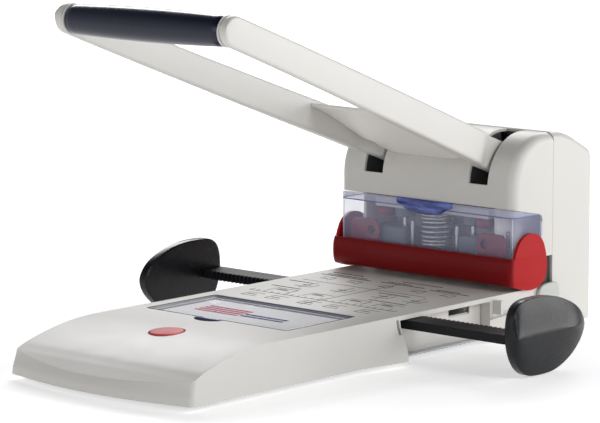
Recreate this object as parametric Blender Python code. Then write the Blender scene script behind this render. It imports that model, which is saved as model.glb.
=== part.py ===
"""Heavy-duty two-hole paper punch, modelled as separate parts on their joint axes.

Design frame, in millimetres: X to the right, Y back from the front edge of the base,
Z up from the surface that the feet stand on. to_world() turns it into Blender metres
with the origin under the middle of the whole machine.
"""
import math

import bmesh
import bpy
from mathutils import Matrix, Vector

MM = 0.001

# ---------------------------------------------------------------- driving dimensions (mm)
LENGTH = 545.0              # front edge of the base to the back of the head
WIDTH = 203.0               # base and head covers
FIT = 0.3                   # gap between neighbouring pieces
WALL = 2.6                  # moulded cover walls

FOOT_HEIGHT = 5.0
FOOT_RADIUS = 9.0
TABLE_Z = 43.0              # paper table above the ground
TABLE_T = 4.0               # table plate
NOSE_Z = 19.0               # top of the base at its very front
NOSE_RUN = 110.0            # length over which the nose rises to the table
NOSE_POWER = 2.0            # how fast that rise levels out
NOSE_BULGE = 14.0           # how far the front edge bows out
NOSE_CORNER = 3.0           # chamfer of the front corners in plan
BASE_SHEET = 1.7            # steel sheet that closes the base

SIDE_RECESS = (272.0, 395.0)   # side openings for the paper stops
RECESS_DEPTH = 12.0
LIP_SLOT = (4.5, 1.2, 3.2, 15.5)    # width, depth, top and bottom below the table

HEAD_FRONT = 427.0
HEAD_SEAM = 485.0           # joint between the front and rear head covers
HEAD_FILLET = 7.0
PIVOT_Z = 133.0
HEAD_RADIUS = 47.7          # front-top arc, round the handle pivot
HEAD_BOTTOM = 117.0         # lower edge of the opaque front cover
HEAD_BACK_Z = 152.0         # where the sloping top meets the back
THROAT_TOP = 67.0

HOLE_SPACING = 80.0         # two-hole standard
HOLE_MARGIN = 12.0          # punch line to back stop
PUNCH_RADIUS = 2.75
RUNNING = 0.35              # radial clearance round the punches and pins

SHAFT_RADIUS = 5.0
DRIVE_TEETH = 19
DRIVE_MODULE = 2.8          # sector pitch radius = DRIVE_TEETH * DRIVE_MODULE / 2
DRIVE_BACKLASH = 0.5
HANDLE_DOWN = 18.0          # degrees of swing below the rest position
HANDLE_UP = 38.0            # degrees of swing above it
DIE_REACH = 3.0             # how far the punches enter the dies

ARM_PITCH = 20.3            # handle angle at rest
ARM_OFFSET = 15.7           # arm centre line above the pivot
ARM_HEIGHT = (26.0, 29.0)   # at the grip and at the root
ARM_THICK = (8.5, 15.0)
ARM_CENTRE = (93.7, 68.5)   # distance from the middle at the grip and outside the head
ARM_SLOT_CENTRE = 61.0      # the same inside the head
ARM_REACH = 434.0           # pivot to grip along the arm
ARM_NECK = (52.0, 74.0)     # stretch over which the arms step in to the slots
SLOT_WIDTH = 22.0
SLOT_BACK = 2.0             # slots end this far before the seam
GRIP_RADIUS = 11.6
GRIP_CROWN = 1.3
GRIP_ROD = 5.0
GRIP_BITE = 4.5             # how far the rod sits in each arm
COLLAR_T = 2.0
WEB_SPAN = (54.0, 142.0)    # web plate, measured from the pivot along the arms
WEB_LIFT = 6.0
WEB_T = 3.5

CHEEK_X = 75.0              # inner face of the steel frame cheeks
CHEEK_T = 3.0
SPRING_RADIUS = 15.5
SPRING_WIRE = 1.5
SPRING_TURNS = 7

STOP_FACE = 208.0           # paper face of the side stops from the middle
STOP_TRAVEL = 85.0
STOP_MODULE = 1.6
STOP_BACKLASH = 0.35
PINION_TEETH = 30
PINION_Y = 329.0
BAR_DEPTH_MOST = 23.0       # toothed bar, front to back without teeth
RAIL_T = 4.5
STOP_TRAY_WALL = 2.0
BAR_Z = (30.6, 38.4)
PADDLE_T = 15.0

LID_X = (-88.0, 75.0)
LID_Y = (157.0, 243.0)
LID_T = 2.1
DEPOT_DEPTH = 13.0
NOTCH_X = -7.0
NOTCH_WIDTH = 46.0
LID_LEDGE = 4.0             # width of the table's ledge under the lid
LID_CORNER = 3.0

BUTTON_Y = 92.0
BUTTON_RADIUS = 15.0
BUTTON_PROUD = 0.4
SOCKET_DROP = 4.0           # socket rim below the table plate, clear of the sloping nose

TRAY_WIDTH = 138.0
TRAY_FRONT = 430.0
TRAY_Z = (8.0, 30.5)

GUARD_T = 2.2
GUARD_BACK = 469.3
GUARD_SIDE_TOP = 109.0
BAR_FRONT = 419.0           # front of the red finger guard
BAR_T = 5.5
BAR_TOP = 73.0
BAR_BOTTOM = 49.0
EAR_T = 3.0
EAR_GAP = 0.8
EAR_PIVOT = (460.0, 84.0)
STUD_RADIUS = 3.0
LATCH_HALF = 32.0
LATCH_T = 2.0

# ---------------------------------------------------------------- worked out from them
HALF = WIDTH / 2
PIVOT_Y = HEAD_FRONT + HEAD_RADIUS + 0.3
DRIVE_RADIUS = DRIVE_TEETH * DRIVE_MODULE / 2
PUNCH_Y = PIVOT_Y - DRIVE_RADIUS
PUNCH_DROP = DRIVE_RADIUS * math.radians(HANDLE_DOWN)
PUNCH_TIP = TABLE_Z - DIE_REACH + PUNCH_DROP
PLATE_UNDER = TABLE_Z - TABLE_T
SHEET_TOP = FOOT_HEIGHT + FIT + BASE_SHEET
PINION_RADIUS = PINION_TEETH * STOP_MODULE / 2
BAR_INNER = PINION_RADIUS + 1.25 * STOP_MODULE      # tooth roots from the pinion centre
BAR_ROOM = PINION_Y - SIDE_RECESS[0] - STOP_TRAY_WALL - RAIL_T - 3 * FIT - BAR_INNER
BAR_DEPTH = min(BAR_DEPTH_MOST, BAR_ROOM)
BRIDGE_TOP = THROAT_TOP + FIT + 3.0
YOKE_Z = (104.0, 112.0)
YOKE_FRONT = PUNCH_Y - 12
YOKE_BACK = PUNCH_Y + 8.5                           # clears the arm lugs when the handle is up
YOKE_POCKET = 4.0                                   # blind hole in the yoke over the spring post
GUIDE_TOP = 86.0
RACK_TOP = PIVOT_Z + PUNCH_DROP + 4.5


def to_world(x, y, z):
    return Vector((x, y - LENGTH / 2, z)) * MM


# ---------------------------------------------------------------- materials
COLOURS = {
    "shell": ((0.78, 0.77, 0.74), 0.45, 0.0),
    "shell_dark": ((0.30, 0.30, 0.31), 0.55, 0.0),
    "red": ((0.55, 0.03, 0.03), 0.35, 0.0),
    "button_red": ((0.60, 0.08, 0.06), 0.35, 0.0),
    "grip": ((0.012, 0.015, 0.035), 0.25, 0.0),
    "black": ((0.02, 0.02, 0.022), 0.4, 0.0),
    "clear": ((0.75, 0.76, 0.92), 0.08, 0.0),
    "latch_blue": ((0.05, 0.09, 0.42), 0.2, 0.0),
    "steel": ((0.52, 0.53, 0.55), 0.35, 1.0),
    "guide_grey": ((0.30, 0.33, 0.36), 0.4, 0.3),
    "spring_steel": ((0.60, 0.61, 0.63), 0.25, 1.0),
    "nylon": ((0.70, 0.69, 0.64), 0.5, 0.0),
    "rubber": ((0.03, 0.03, 0.03), 0.8, 0.0),
    "card": ((0.85, 0.85, 0.84), 0.8, 0.0),
}


def make_material(name, key):
    colour, roughness, metallic = COLOURS[key]
    material = bpy.data.materials.new(name)
    material.use_nodes = True
    shader = material.node_tree.nodes["Principled BSDF"]
    shader.inputs["Base Color"].default_value = (*colour, 1.0)
    shader.inputs["Roughness"].default_value = roughness
    shader.inputs["Metallic"].default_value = metallic
    return material


# ---------------------------------------------------------------- outlines
def arc(cy, cz, radius, start, end, steps):
    """Points on an arc, with its angles in degrees."""
    angles = [math.radians(start + (end - start) * i / steps) for i in range(steps + 1)]
    return [(cy + radius * math.cos(a), cz + radius * math.sin(a)) for a in angles]


def circle(cx, cy, radius, steps):
    return arc(cx, cy, radius, 0.0, 360.0, steps)[:-1]


def rect(x0, x1, y0, y1):
    return [(x0, y0), (x1, y0), (x1, y1), (x0, y1)]


def round_rect(x0, x1, y0, y1, radius, steps=3):
    corners = [(x1 - radius, y1 - radius, 0), (x0 + radius, y1 - radius, 90),
               (x0 + radius, y0 + radius, 180), (x1 - radius, y0 + radius, 270)]
    points = []
    for cx, cy, start in corners:
        points += arc(cx, cy, radius, start, start + 90, steps)
    return points


def smooth_closed(points, steps):
    """A closed Catmull-Rom curve through the given corner points."""
    result = []
    count = len(points)
    for i in range(count):
        a, b, c, d = (Vector(points[(i + k) % count]) for k in (-1, 0, 1, 2))
        for s in range(steps):
            t = s / steps
            result.append(tuple(0.5 * (2 * b + (c - a) * t + (2 * a - 5 * b + 4 * c - d) * t * t
                                       + (3 * b - a - 3 * c + d) * t * t * t)))
    return result


def gear_outline(teeth, module, backlash, first=0, last=None, hub=None):
    """Teeth with 20 degree flanks, centred on angle 0 for tooth 0.

    With last given, only teeth first to last are cut and the rest follows the hub radius.
    """
    pitch_radius = teeth * module / 2
    tip = pitch_radius + module
    root = pitch_radius - 1.25 * module
    step = 2 * math.pi / teeth
    slope = math.tan(math.radians(20))
    half = step / 4 - backlash / (2 * pitch_radius)
    lean_tip = module * slope / pitch_radius * 1.05
    lean_root = 1.25 * module * slope / pitch_radius * 0.55
    points = []
    indices = range(teeth) if last is None else range(first, last + 1)
    for k in indices:
        centre = k * step
        for radius, angle in ((root, -half - lean_root), (pitch_radius, -half),
                              (tip, -half + lean_tip), (tip, half - lean_tip),
                              (pitch_radius, half), (root, half + lean_root)):
            points.append((radius * math.cos(centre + angle), radius * math.sin(centre + angle)))
    if last is not None:
        start = math.degrees(last * step + half + lean_root) + 12
        end = math.degrees(first * step - half - lean_root) + 348
        points += arc(0, 0, hub, start, end, 10)
    return points


def rack_teeth(pitch, module, backlash, along_from, along_to):
    """(along, height) points of rack teeth: a space is centred on 0, height 0 is the pitch line."""
    slope = math.tan(math.radians(20))
    half = pitch / 4 - backlash / 2
    first = math.ceil(along_from / pitch - 0.5 + 0.25)
    points = []
    k = first
    while (k + 0.5) * pitch + half + 1.25 * module * slope < along_to:
        centre = (k + 0.5) * pitch
        for offset, height in ((-half - 1.25 * module * slope, -1.25 * module),
                               (-half + module * slope, module),
                               (half - module * slope, module),
                               (half + 1.25 * module * slope, -1.25 * module)):
            if centre + offset > along_from:
                points.append((centre + offset, height))
        k += 1
    return points


# ---------------------------------------------------------------- solids as bmesh
AXES = {"X": lambda u, v, w: (w, u, v), "Y": lambda u, v, w: (u, w, v), "Z": lambda u, v, w: (u, v, w)}


def close_up(bm):
    bmesh.ops.remove_doubles(bm, verts=bm.verts, dist=1e-6)
    bmesh.ops.recalc_face_normals(bm, faces=bm.faces)
    return bm


def loft(sections):
    """Skin a row of equal closed sections, given in design millimetres, and cap both ends."""
    bm = bmesh.new()
    rings = [[bm.verts.new(to_world(*p)) for p in section] for section in sections]
    for low, high in zip(rings, rings[1:]):
        for i in range(len(low)):
            j = (i + 1) % len(low)
            bm.faces.new((low[i], low[j], high[j], high[i]))
    bm.faces.new(rings[0])
    bm.faces.new(rings[-1])
    return close_up(bm)


def prism(outline, axis, low, high):
    turn = AXES[axis]
    return loft([[turn(u, v, w) for u, v in outline] for w in (low, high)])


def ring(outer, inner, axis, low, high):
    """A prism with a hole: both outlines have the same number of points."""
    turn = AXES[axis]
    bm = bmesh.new()
    loops = []
    for outline, w in ((outer, low), (outer, high), (inner, high), (inner, low)):
        loops.append([bm.verts.new(to_world(*turn(u, v, w))) for u, v in outline])
    for a, b in zip(loops, loops[1:] + loops[:1]):
        for i in range(len(a)):
            j = (i + 1) % len(a)
            bm.faces.new((a[i], a[j], b[j], b[i]))
    return close_up(bm)


def box(x0, x1, y0, y1, z0, z1):
    return prism(rect(x0, x1, y0, y1), "Z", z0, z1)


def disc(axis, u, v, radius, low, high, steps=24):
    return prism(circle(u, v, radius, steps), axis, low, high)


def tube(axis, u, v, outer, inner, low, high, steps=24):
    return ring(circle(u, v, outer, steps), circle(u, v, inner, steps), axis, low, high)


def turned(profile, x, y, steps=24):
    """Turn (radius, z) points, from the lower axis point to the upper one, about a vertical axis."""
    bm = bmesh.new()
    previous = None
    for radius, z in profile:
        count = steps if radius > 0 else 1
        loop = [bm.verts.new(to_world(x + radius * math.cos(2 * math.pi * i / count),
                                      y + radius * math.sin(2 * math.pi * i / count), z))
                for i in range(count)]
        if previous:
            for i in range(steps):
                j = (i + 1) % steps
                if len(previous) == 1:
                    bm.faces.new((previous[0], loop[j], loop[i]))
                elif len(loop) == 1:
                    bm.faces.new((previous[i], previous[j], loop[0]))
                else:
                    bm.faces.new((previous[i], previous[j], loop[j], loop[i]))
        previous = loop
    return close_up(bm)


def coil(x, y, z0, z1, radius, wire, turns, steps=14, sides=6):
    """A compression spring as one closed tube."""
    count = turns * steps
    low, high = z0 + wire, z1 - wire
    sections = []
    for i in range(count + 1):
        angle = 2 * math.pi * i / steps
        outward = Vector((math.cos(angle), math.sin(angle), 0))
        centre = Vector((x, y, low + (high - low) * i / count)) + outward * radius
        loop = []
        for s in range(sides):
            around = 2 * math.pi * s / sides
            loop.append(centre + outward * wire * math.cos(around) + Vector((0, 0, wire * math.sin(around))))
        sections.append(loop)
    return loft(sections)


def boolean(target, cutters, operation="DIFFERENCE"):
    """Combine bmesh solids with exact Booleans and give back one bmesh."""
    def temporary(bm):
        mesh = bpy.data.meshes.new("temporary")
        bm.to_mesh(mesh)
        bm.free()
        obj = bpy.data.objects.new("temporary", mesh)
        bpy.context.scene.collection.objects.link(obj)
        return obj

    body = temporary(target)
    tools = [temporary(cutter) for cutter in cutters]
    for tool in tools:
        modifier = body.modifiers.new("cut", "BOOLEAN")
        modifier.operation = operation
        modifier.solver = "EXACT"
        modifier.object = tool
    evaluated = body.evaluated_get(bpy.context.evaluated_depsgraph_get())
    result = bmesh.new()
    result.from_mesh(evaluated.to_mesh())
    for obj in (body, *tools):
        bpy.data.objects.remove(obj)
    bmesh.ops.remove_doubles(result, verts=result.verts, dist=1e-6)
    bmesh.ops.dissolve_degenerate(result, edges=result.edges, dist=1e-6)
    return result


def bevel_edges(bm, test, width, segments=2):
    """Round the edges whose two ends, in design millimetres, both pass the test."""
    def design(vert):
        return vert.co.x / MM, vert.co.y / MM + LENGTH / 2, vert.co.z / MM

    edges = [e for e in bm.edges if e.calc_face_angle(0) > math.radians(40)
             and test(design(e.verts[0]), design(e.verts[1]))]
    bmesh.ops.bevel(bm, geom=edges, offset=width * MM, segments=segments, profile=0.5, affect="EDGES")
    return bm


# ---------------------------------------------------------------- bodies and objects
class Body:
    """An empty on a joint's axis that carries the pieces which move with it."""

    def __init__(self, name, axis_point=None):
        self.empty = bpy.data.objects.new(name + "_axis", None)
        self.origin = to_world(*axis_point) if axis_point else Vector((0, 0, 0))
        self.empty.location = self.origin
        bpy.context.scene.collection.objects.link(self.empty)

    def add(self, name, bm, material):
        bmesh.ops.translate(bm, verts=bm.verts, vec=-self.origin)
        mesh = bpy.data.meshes.new(name)
        bm.to_mesh(mesh)
        bm.free()
        mesh.shade_smooth()
        mesh.set_sharp_from_angle(angle=math.radians(30))
        mesh.materials.append(make_material(name, material))
        obj = bpy.data.objects.new(name, mesh)
        obj.parent = self.empty
        bpy.context.scene.collection.objects.link(obj)


# ---------------------------------------------------------------- base
def nose_profile(drop=0.0, start=0.0):
    """(y, z) points of the base's top line, from the front to the flat table."""
    points = []
    for i in range(11):
        y = NOSE_RUN * i / 10
        rise = (TABLE_Z - NOSE_Z) * (1 - (1 - i / 10) ** NOSE_POWER)
        points.append((max(y, start), NOSE_Z + rise - drop))
    return points


def base_plan(inset, back):
    """Plan outline with the bowed front edge, inset from the outer faces."""
    half = HALF - inset
    chord = [(-half + 2 * half * i / 14, 0) for i in range(15)]
    front = [(x, inset + NOSE_BULGE * (x / HALF) ** 2) for x, _ in chord]
    y = front[0][1]
    front[0] = (NOSE_CORNER - half, y)
    front[-1] = (half - NOSE_CORNER, y)
    return [(-half, back), (-half, y + NOSE_CORNER)] + front + [(half, y + NOSE_CORNER), (half, back)]


def base_block(inset, drop, back, bottom):
    """The base's outer or inner volume: its long profile trimmed to the plan outline."""
    outline = [(-1.0, bottom)] + [(-1.0, NOSE_Z - drop)] + nose_profile(drop)
    outline += [(back, TABLE_Z - drop), (back, bottom)]
    body = prism(outline, "X", -HALF + inset, HALF - inset)
    plan = prism(base_plan(inset, back + 5), "Z", bottom - 5, TABLE_Z + 5)
    return boolean(body, [plan], "INTERSECT")


def on_top_rim(a, b):
    """Edges of the base between its top and its sides or front."""
    height = min(a[2], b[2])
    long_enough = abs(a[1] - b[1]) > 0.01 or abs(a[0] - b[0]) > 0.01
    return height > NOSE_Z - 2 and long_enough and max(a[1], b[1]) < HEAD_SEAM + 1


def base_cover():
    back = HEAD_SEAM - FIT
    body = bevel_edges(base_block(0.0, 0.0, back, FOOT_HEIGHT), on_top_rim, 2.5, 2)
    hollow = base_block(WALL, TABLE_T, back + 10, FOOT_HEIGHT - 5)
    front, rear = SIDE_RECESS
    for y0, y1 in ((front - WALL, front), (rear, rear + WALL)):
        rib = box(-HALF - 5, HALF + 5, y0, y1, SHEET_TOP + FIT, TABLE_Z + 10)
        hollow = boolean(hollow, [rib])
    inner = HALF - RECESS_DEPTH
    cuts = [hollow]
    for side in (-1, 1):
        x0, x1 = sorted((side * inner, side * (HALF + 5)))
        cuts.append(box(x0, x1, front, rear, FOOT_HEIGHT - 5, PLATE_UNDER))
    clear = FIT
    cuts.append(box(LID_X[0] - clear, LID_X[1] + clear, LID_Y[0] - clear, LID_Y[1] + LID_T + 2 * clear,
                    TABLE_Z - LID_T - clear, TABLE_Z + 5))
    ledge = LID_LEDGE
    cuts.append(box(LID_X[0] + ledge, LID_X[1] - ledge, LID_Y[0] + ledge, LID_Y[1] - ledge,
                    PLATE_UNDER - 5, TABLE_Z))
    notch = prism([(NOTCH_X - NOTCH_WIDTH / 2, LID_Y[0])]
                  + [(NOTCH_X + NOTCH_WIDTH / 2 * math.cos(a), LID_Y[0] - 9 * math.sin(a))
                     for a in [math.pi * (1 - i / 10) for i in range(1, 10)]]
                  + [(NOTCH_X + NOTCH_WIDTH / 2, LID_Y[0])], "Z", TABLE_Z - LID_T - clear, TABLE_Z + 5)
    cuts.append(notch)
    cuts.append(disc("Z", 0, BUTTON_Y, BUTTON_RADIUS + 0.5, PLATE_UNDER - 8, TABLE_Z + 5, 32))
    for side in (-1, 1):
        cuts.append(disc("Z", side * HOLE_SPACING / 2, PUNCH_Y, 11 + FIT, PLATE_UNDER - 5, TABLE_Z + 5))
        for y in (front - 5.5, rear + 3.5):
            x0, x1 = sorted((side * (HALF - LIP_SLOT[1]), side * (HALF + 5)))
            cuts.append(box(x0, x1, y, y + LIP_SLOT[0], TABLE_Z - LIP_SLOT[3], TABLE_Z - LIP_SLOT[2]))
    return boolean(body, cuts)


def base_parts(body):
    body.add("base_cover", base_cover(), "shell")
    inset = WALL + FIT
    cut = HEAD_FILLET
    sheet_plan = base_plan(inset, LENGTH - inset - cut)
    sheet_plan += [(HALF - inset - cut, LENGTH - inset), (inset + cut - HALF, LENGTH - inset)]
    body.add("base_plate", prism(sheet_plan, "Z", FOOT_HEIGHT + FIT, SHEET_TOP), "steel")
    places = [(side, y) for y in (45.0, 500.0) for side in (-1, 1)]
    for number, (side, y) in enumerate(places, 1):
        profile = [(0, 0), (FOOT_RADIUS - 1, 0), (FOOT_RADIUS, 1), (FOOT_RADIUS, FOOT_HEIGHT), (0, FOOT_HEIGHT)]
        body.add(f"foot_{number}", turned(profile, side * (HALF - 22), y, 20), "rubber")


# ---------------------------------------------------------------- head covers and guard
def head_front_cover():
    arc_points = arc(PIVOT_Y, PIVOT_Z, HEAD_RADIUS, 180, 90, 10)
    back = HEAD_SEAM - FIT
    skirt = GUARD_BACK + 0.5
    side_low = THROAT_TOP + 2
    outline = arc_points + [(back, PIVOT_Z + HEAD_RADIUS - 0.4), (back, side_low), (skirt, side_low),
                            (skirt, GUARD_SIDE_TOP - 5), (skirt - 1.5, GUARD_SIDE_TOP - 1.5),
                            (skirt - 5, GUARD_SIDE_TOP), (HEAD_FRONT + 0.3, HEAD_BOTTOM)]
    shell = prism(outline, "X", -HALF, HALF)

    def front_rim(a, b):
        same_side = abs(a[0] - b[0]) < 0.01 and abs(a[0]) > HALF - 0.1
        return same_side and min(a[2], b[2]) > HEAD_BOTTOM - 0.5 and abs(a[1] - b[1]) + abs(a[2] - b[2]) > 1 \
            and min(a[1], b[1]) < back - 0.1

    bevel_edges(shell, front_rim, HEAD_FILLET, 4)
    inner_arc = arc(PIVOT_Y, PIVOT_Z, HEAD_RADIUS - WALL, 180, 90, 10)
    hollow = prism(inner_arc + [(back + 5, PIVOT_Z + HEAD_RADIUS - WALL), (back + 5, side_low - 5),
                                (HEAD_FRONT + 0.3 + WALL, side_low - 5)], "X", -HALF + WALL, HALF - WALL)
    bevel_inner = HEAD_FILLET - WALL
    bevel_edges(hollow, lambda a, b: abs(a[0] - b[0]) < 0.01 and min(a[2], b[2]) > HEAD_BOTTOM
                and min(a[1], b[1]) < back, bevel_inner, 3)
    cuts = [hollow]
    for side in (-1, 1):
        x0, x1 = sorted((side * (ARM_SLOT_CENTRE - SLOT_WIDTH / 2), side * (ARM_SLOT_CENTRE + SLOT_WIDTH / 2)))
        cuts.append(box(x0, x1, HEAD_FRONT - 10, HEAD_SEAM - SLOT_BACK, PIVOT_Z + 3, PIVOT_Z + HEAD_RADIUS + 10))
    return boolean(shell, cuts)


def rear_profile(inset):
    top = PIVOT_Z + HEAD_RADIUS - inset
    back = LENGTH - inset
    radius = 12.0 - inset
    low = HEAD_BACK_Z
    return [(HEAD_SEAM, top), (HEAD_SEAM + 14, top - 1.2), (HEAD_SEAM + 28, top - 5.5),
            (HEAD_SEAM + 40, top - 11.5)] + arc(back - radius, low, radius, 50, 0, 4)


def head_rear_cover():
    outline = rear_profile(0.0) + [(LENGTH, FOOT_HEIGHT), (HEAD_SEAM, FOOT_HEIGHT)]
    shell = prism(outline, "X", -HALF, HALF)

    def rim(a, b):
        same_side = abs(a[0] - b[0]) < 0.01 and abs(a[0]) > HALF - 0.1
        return same_side and max(a[1], b[1]) > HEAD_SEAM + 1 and min(a[2], b[2]) > FOOT_HEIGHT - 1 \
            and not (a[2] < FOOT_HEIGHT + 0.1 and b[2] < FOOT_HEIGHT + 0.1)

    bevel_edges(shell, rim, HEAD_FILLET, 4)
    low = SHEET_TOP + FIT - 20
    hollow = prism([(HEAD_SEAM - 5, PIVOT_Z + HEAD_RADIUS - WALL)] + rear_profile(WALL)
                   + [(LENGTH - WALL, low), (HEAD_SEAM - 5, low)], "X", -HALF + WALL, HALF - WALL)
    bevel_edges(hollow, lambda a, b: abs(a[0] - b[0]) < 0.01 and max(a[1], b[1]) > HEAD_SEAM + 1
                and min(a[2], b[2]) > low - 1 and not (a[2] < low + 1 and b[2] < low + 1),
                HEAD_FILLET - WALL, 3)
    half_tray = TRAY_WIDTH / 2 + FIT
    door = box(-half_tray, half_tray, LENGTH - 20, LENGTH + 10, TRAY_Z[0] - FIT, TRAY_Z[1] + FIT)
    return boolean(shell, [hollow, door])


def guard_outline(inset):
    """Plan line of the clear guard, one side of its thickness."""
    half = HALF - inset
    front = HEAD_FRONT + 0.3 + inset
    radius = 6.0 - inset
    left = arc(-half + radius, front + radius, radius, 180, 270, 4)
    right = arc(half - radius, front + radius, radius, 270, 360, 4)
    return [(-half, GUARD_BACK)] + left + right + [(half, GUARD_BACK)]


def clear_guard():
    outline = guard_outline(0.0) + guard_outline(GUARD_T)[::-1]
    shell = prism(outline, "Z", THROAT_TOP + 1, HEAD_BOTTOM)
    wedge = prism([(HEAD_FRONT - 1, HEAD_BOTTOM - FIT), (GUARD_BACK - 5, GUARD_SIDE_TOP - FIT),
                   (GUARD_BACK - 1.5, GUARD_SIDE_TOP - 1.8), (GUARD_BACK + 0.01, GUARD_SIDE_TOP - 5),
                   (GUARD_BACK + 5, GUARD_SIDE_TOP - 5), (GUARD_BACK + 5, HEAD_BOTTOM + 5),
                   (HEAD_FRONT - 1, HEAD_BOTTOM + 5)], "X", -HALF - 5, HALF + 5)
    return boolean(shell, [wedge])


def finger_guard():
    ear = [(BAR_FRONT, BAR_BOTTOM), (BAR_FRONT, BAR_TOP), (BAR_FRONT + 9, BAR_TOP + 0.3),
           (436, 75.5), (442, 80.5), (448, 86.5), (454, 90.6), (460, 92), (465, 89.5), (468.5, 84),
           (471.5, 76), (474, 67), (474.5, 59), (472, 52), (467, 47.2), (459, 44), (450, 42.8),
           (440, 43.6), (430, 46.2)]
    reach = HALF + EAR_GAP + EAR_T
    solid = prism(ear, "X", -reach, reach)

    def front_corner(a, b):
        upright = abs(a[0] - b[0]) < 0.01 and abs(a[1] - BAR_FRONT) < 0.01 and abs(b[1] - BAR_FRONT) < 0.01
        return upright

    bevel_edges(solid, front_corner, 6.0, 4)
    inner = HALF + EAR_GAP
    cut = box(-inner, inner, BAR_FRONT + BAR_T, 500, 30, 110)
    sockets = []
    for side in (-1, 1):
        low, high = sorted((side * (inner - 2), side * (inner + 2.1)))
        sockets.append(disc("X", *EAR_PIVOT, STUD_RADIUS + RUNNING, low, high, 16))
    return boolean(solid, [cut, *sockets])


def head_parts(body):
    body.add("head_front_cover", head_front_cover(), "shell")
    body.add("head_rear_cover", head_rear_cover(), "shell")
    body.add("clear_guard", clear_guard(), "clear")
    for side, name in ((-1, "left"), (1, "right")):
        low, high = sorted((side * (HALF + FIT), side * (HALF + EAR_GAP + 1.8)))
        body.add(f"guard_stud_{name}", disc("X", *EAR_PIVOT, STUD_RADIUS, low, high, 16), "shell_dark")


# ---------------------------------------------------------------- steel frame and punch works
def frame_cheek(side):
    throat_back = HEAD_SEAM + 2
    bottom = SHEET_TOP + FIT
    rear = LENGTH - WALL - 6
    outline = [(434, bottom), (rear, bottom), (rear, 120), (505, 160), (478, 168), (452, 160), (437, 140),
               (434, 120), (434, THROAT_TOP + FIT), (throat_back, THROAT_TOP + FIT),
               (throat_back, PLATE_UNDER - FIT), (434, PLATE_UNDER - FIT)]
    low, high = sorted((side * CHEEK_X, side * (CHEEK_X + CHEEK_T)))
    plate = prism(outline, "X", low, high)
    shaft = disc("X", PIVOT_Y, PIVOT_Z, SHAFT_RADIUS + RUNNING, low - 5, high + 5, 20)
    tie = disc("X", 528, 80, 4 + FIT, low - 5, high + 5, 16)
    return boolean(plate, [shaft, tie])


def frame_parts(body):
    for side, name in ((-1, "left"), (1, "right")):
        body.add(f"frame_cheek_{name}", frame_cheek(side), "steel")
    reach = CHEEK_X - FIT
    x = HOLE_SPACING / 2
    holes = [disc("Z", s * x, PUNCH_Y, PUNCH_RADIUS + RUNNING, THROAT_TOP - 5, GUIDE_TOP + 5, 16) for s in (-1, 1)]
    bridge = box(-reach, reach, PUNCH_Y - 13, PUNCH_Y + 11, THROAT_TOP + FIT, BRIDGE_TOP)
    body.add("lower_bridge", boolean(bridge, holes), "steel")
    for side, name in ((-1, "left"), (1, "right")):
        x0, x1 = sorted((side * (x - 9), side * min(x + 29, reach - FIT)))
        block = prism(round_rect(x0, x1, PUNCH_Y - 12, PUNCH_Y + 11, 3, 2), "Z", BRIDGE_TOP + FIT, GUIDE_TOP)
        hole = disc("Z", side * x, PUNCH_Y, PUNCH_RADIUS + RUNNING, THROAT_TOP, GUIDE_TOP + 5, 16)
        body.add(f"guide_block_{name}", boolean(block, [hole]), "guide_grey")
    post_top = YOKE_Z[0] + YOKE_POCKET - PUNCH_DROP - 1
    body.add("spring_post", disc("Z", 0, PUNCH_Y, 6, BRIDGE_TOP + FIT, post_top, 16), "steel")
    die = box(-reach, reach, PUNCH_Y - 14, PUNCH_Y + 14, PLATE_UNDER - FIT - 5, PLATE_UNDER - FIT)
    drops = [disc("Z", s * x, PUNCH_Y, 5, PLATE_UNDER - 15, PLATE_UNDER + 5, 16) for s in (-1, 1)]
    body.add("die_plate", boolean(die, drops), "steel")
    for side, name in ((-1, "left"), (1, "right")):
        body.add(f"cutting_disc_{name}", tube("Z", side * x, PUNCH_Y, 11, PUNCH_RADIUS + RUNNING,
                                              PLATE_UNDER, TABLE_Z), "nylon")
    stop = box(-reach + 2, reach - 2, PUNCH_Y + HOLE_MARGIN, PUNCH_Y + HOLE_MARGIN + 2.5,
               TABLE_Z + FIT, THROAT_TOP)
    body.add("back_stop", stop, "shell_dark")
    body.add("pivot_shaft", disc("X", PIVOT_Y, PIVOT_Z, SHAFT_RADIUS, -CHEEK_X - CHEEK_T - 2,
                                 CHEEK_X + CHEEK_T + 2, 20), "steel")
    body.add("rear_tie_bar", disc("X", 528, 80, 4, -CHEEK_X - CHEEK_T - 2, CHEEK_X + CHEEK_T + 2, 16), "steel")


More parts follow.
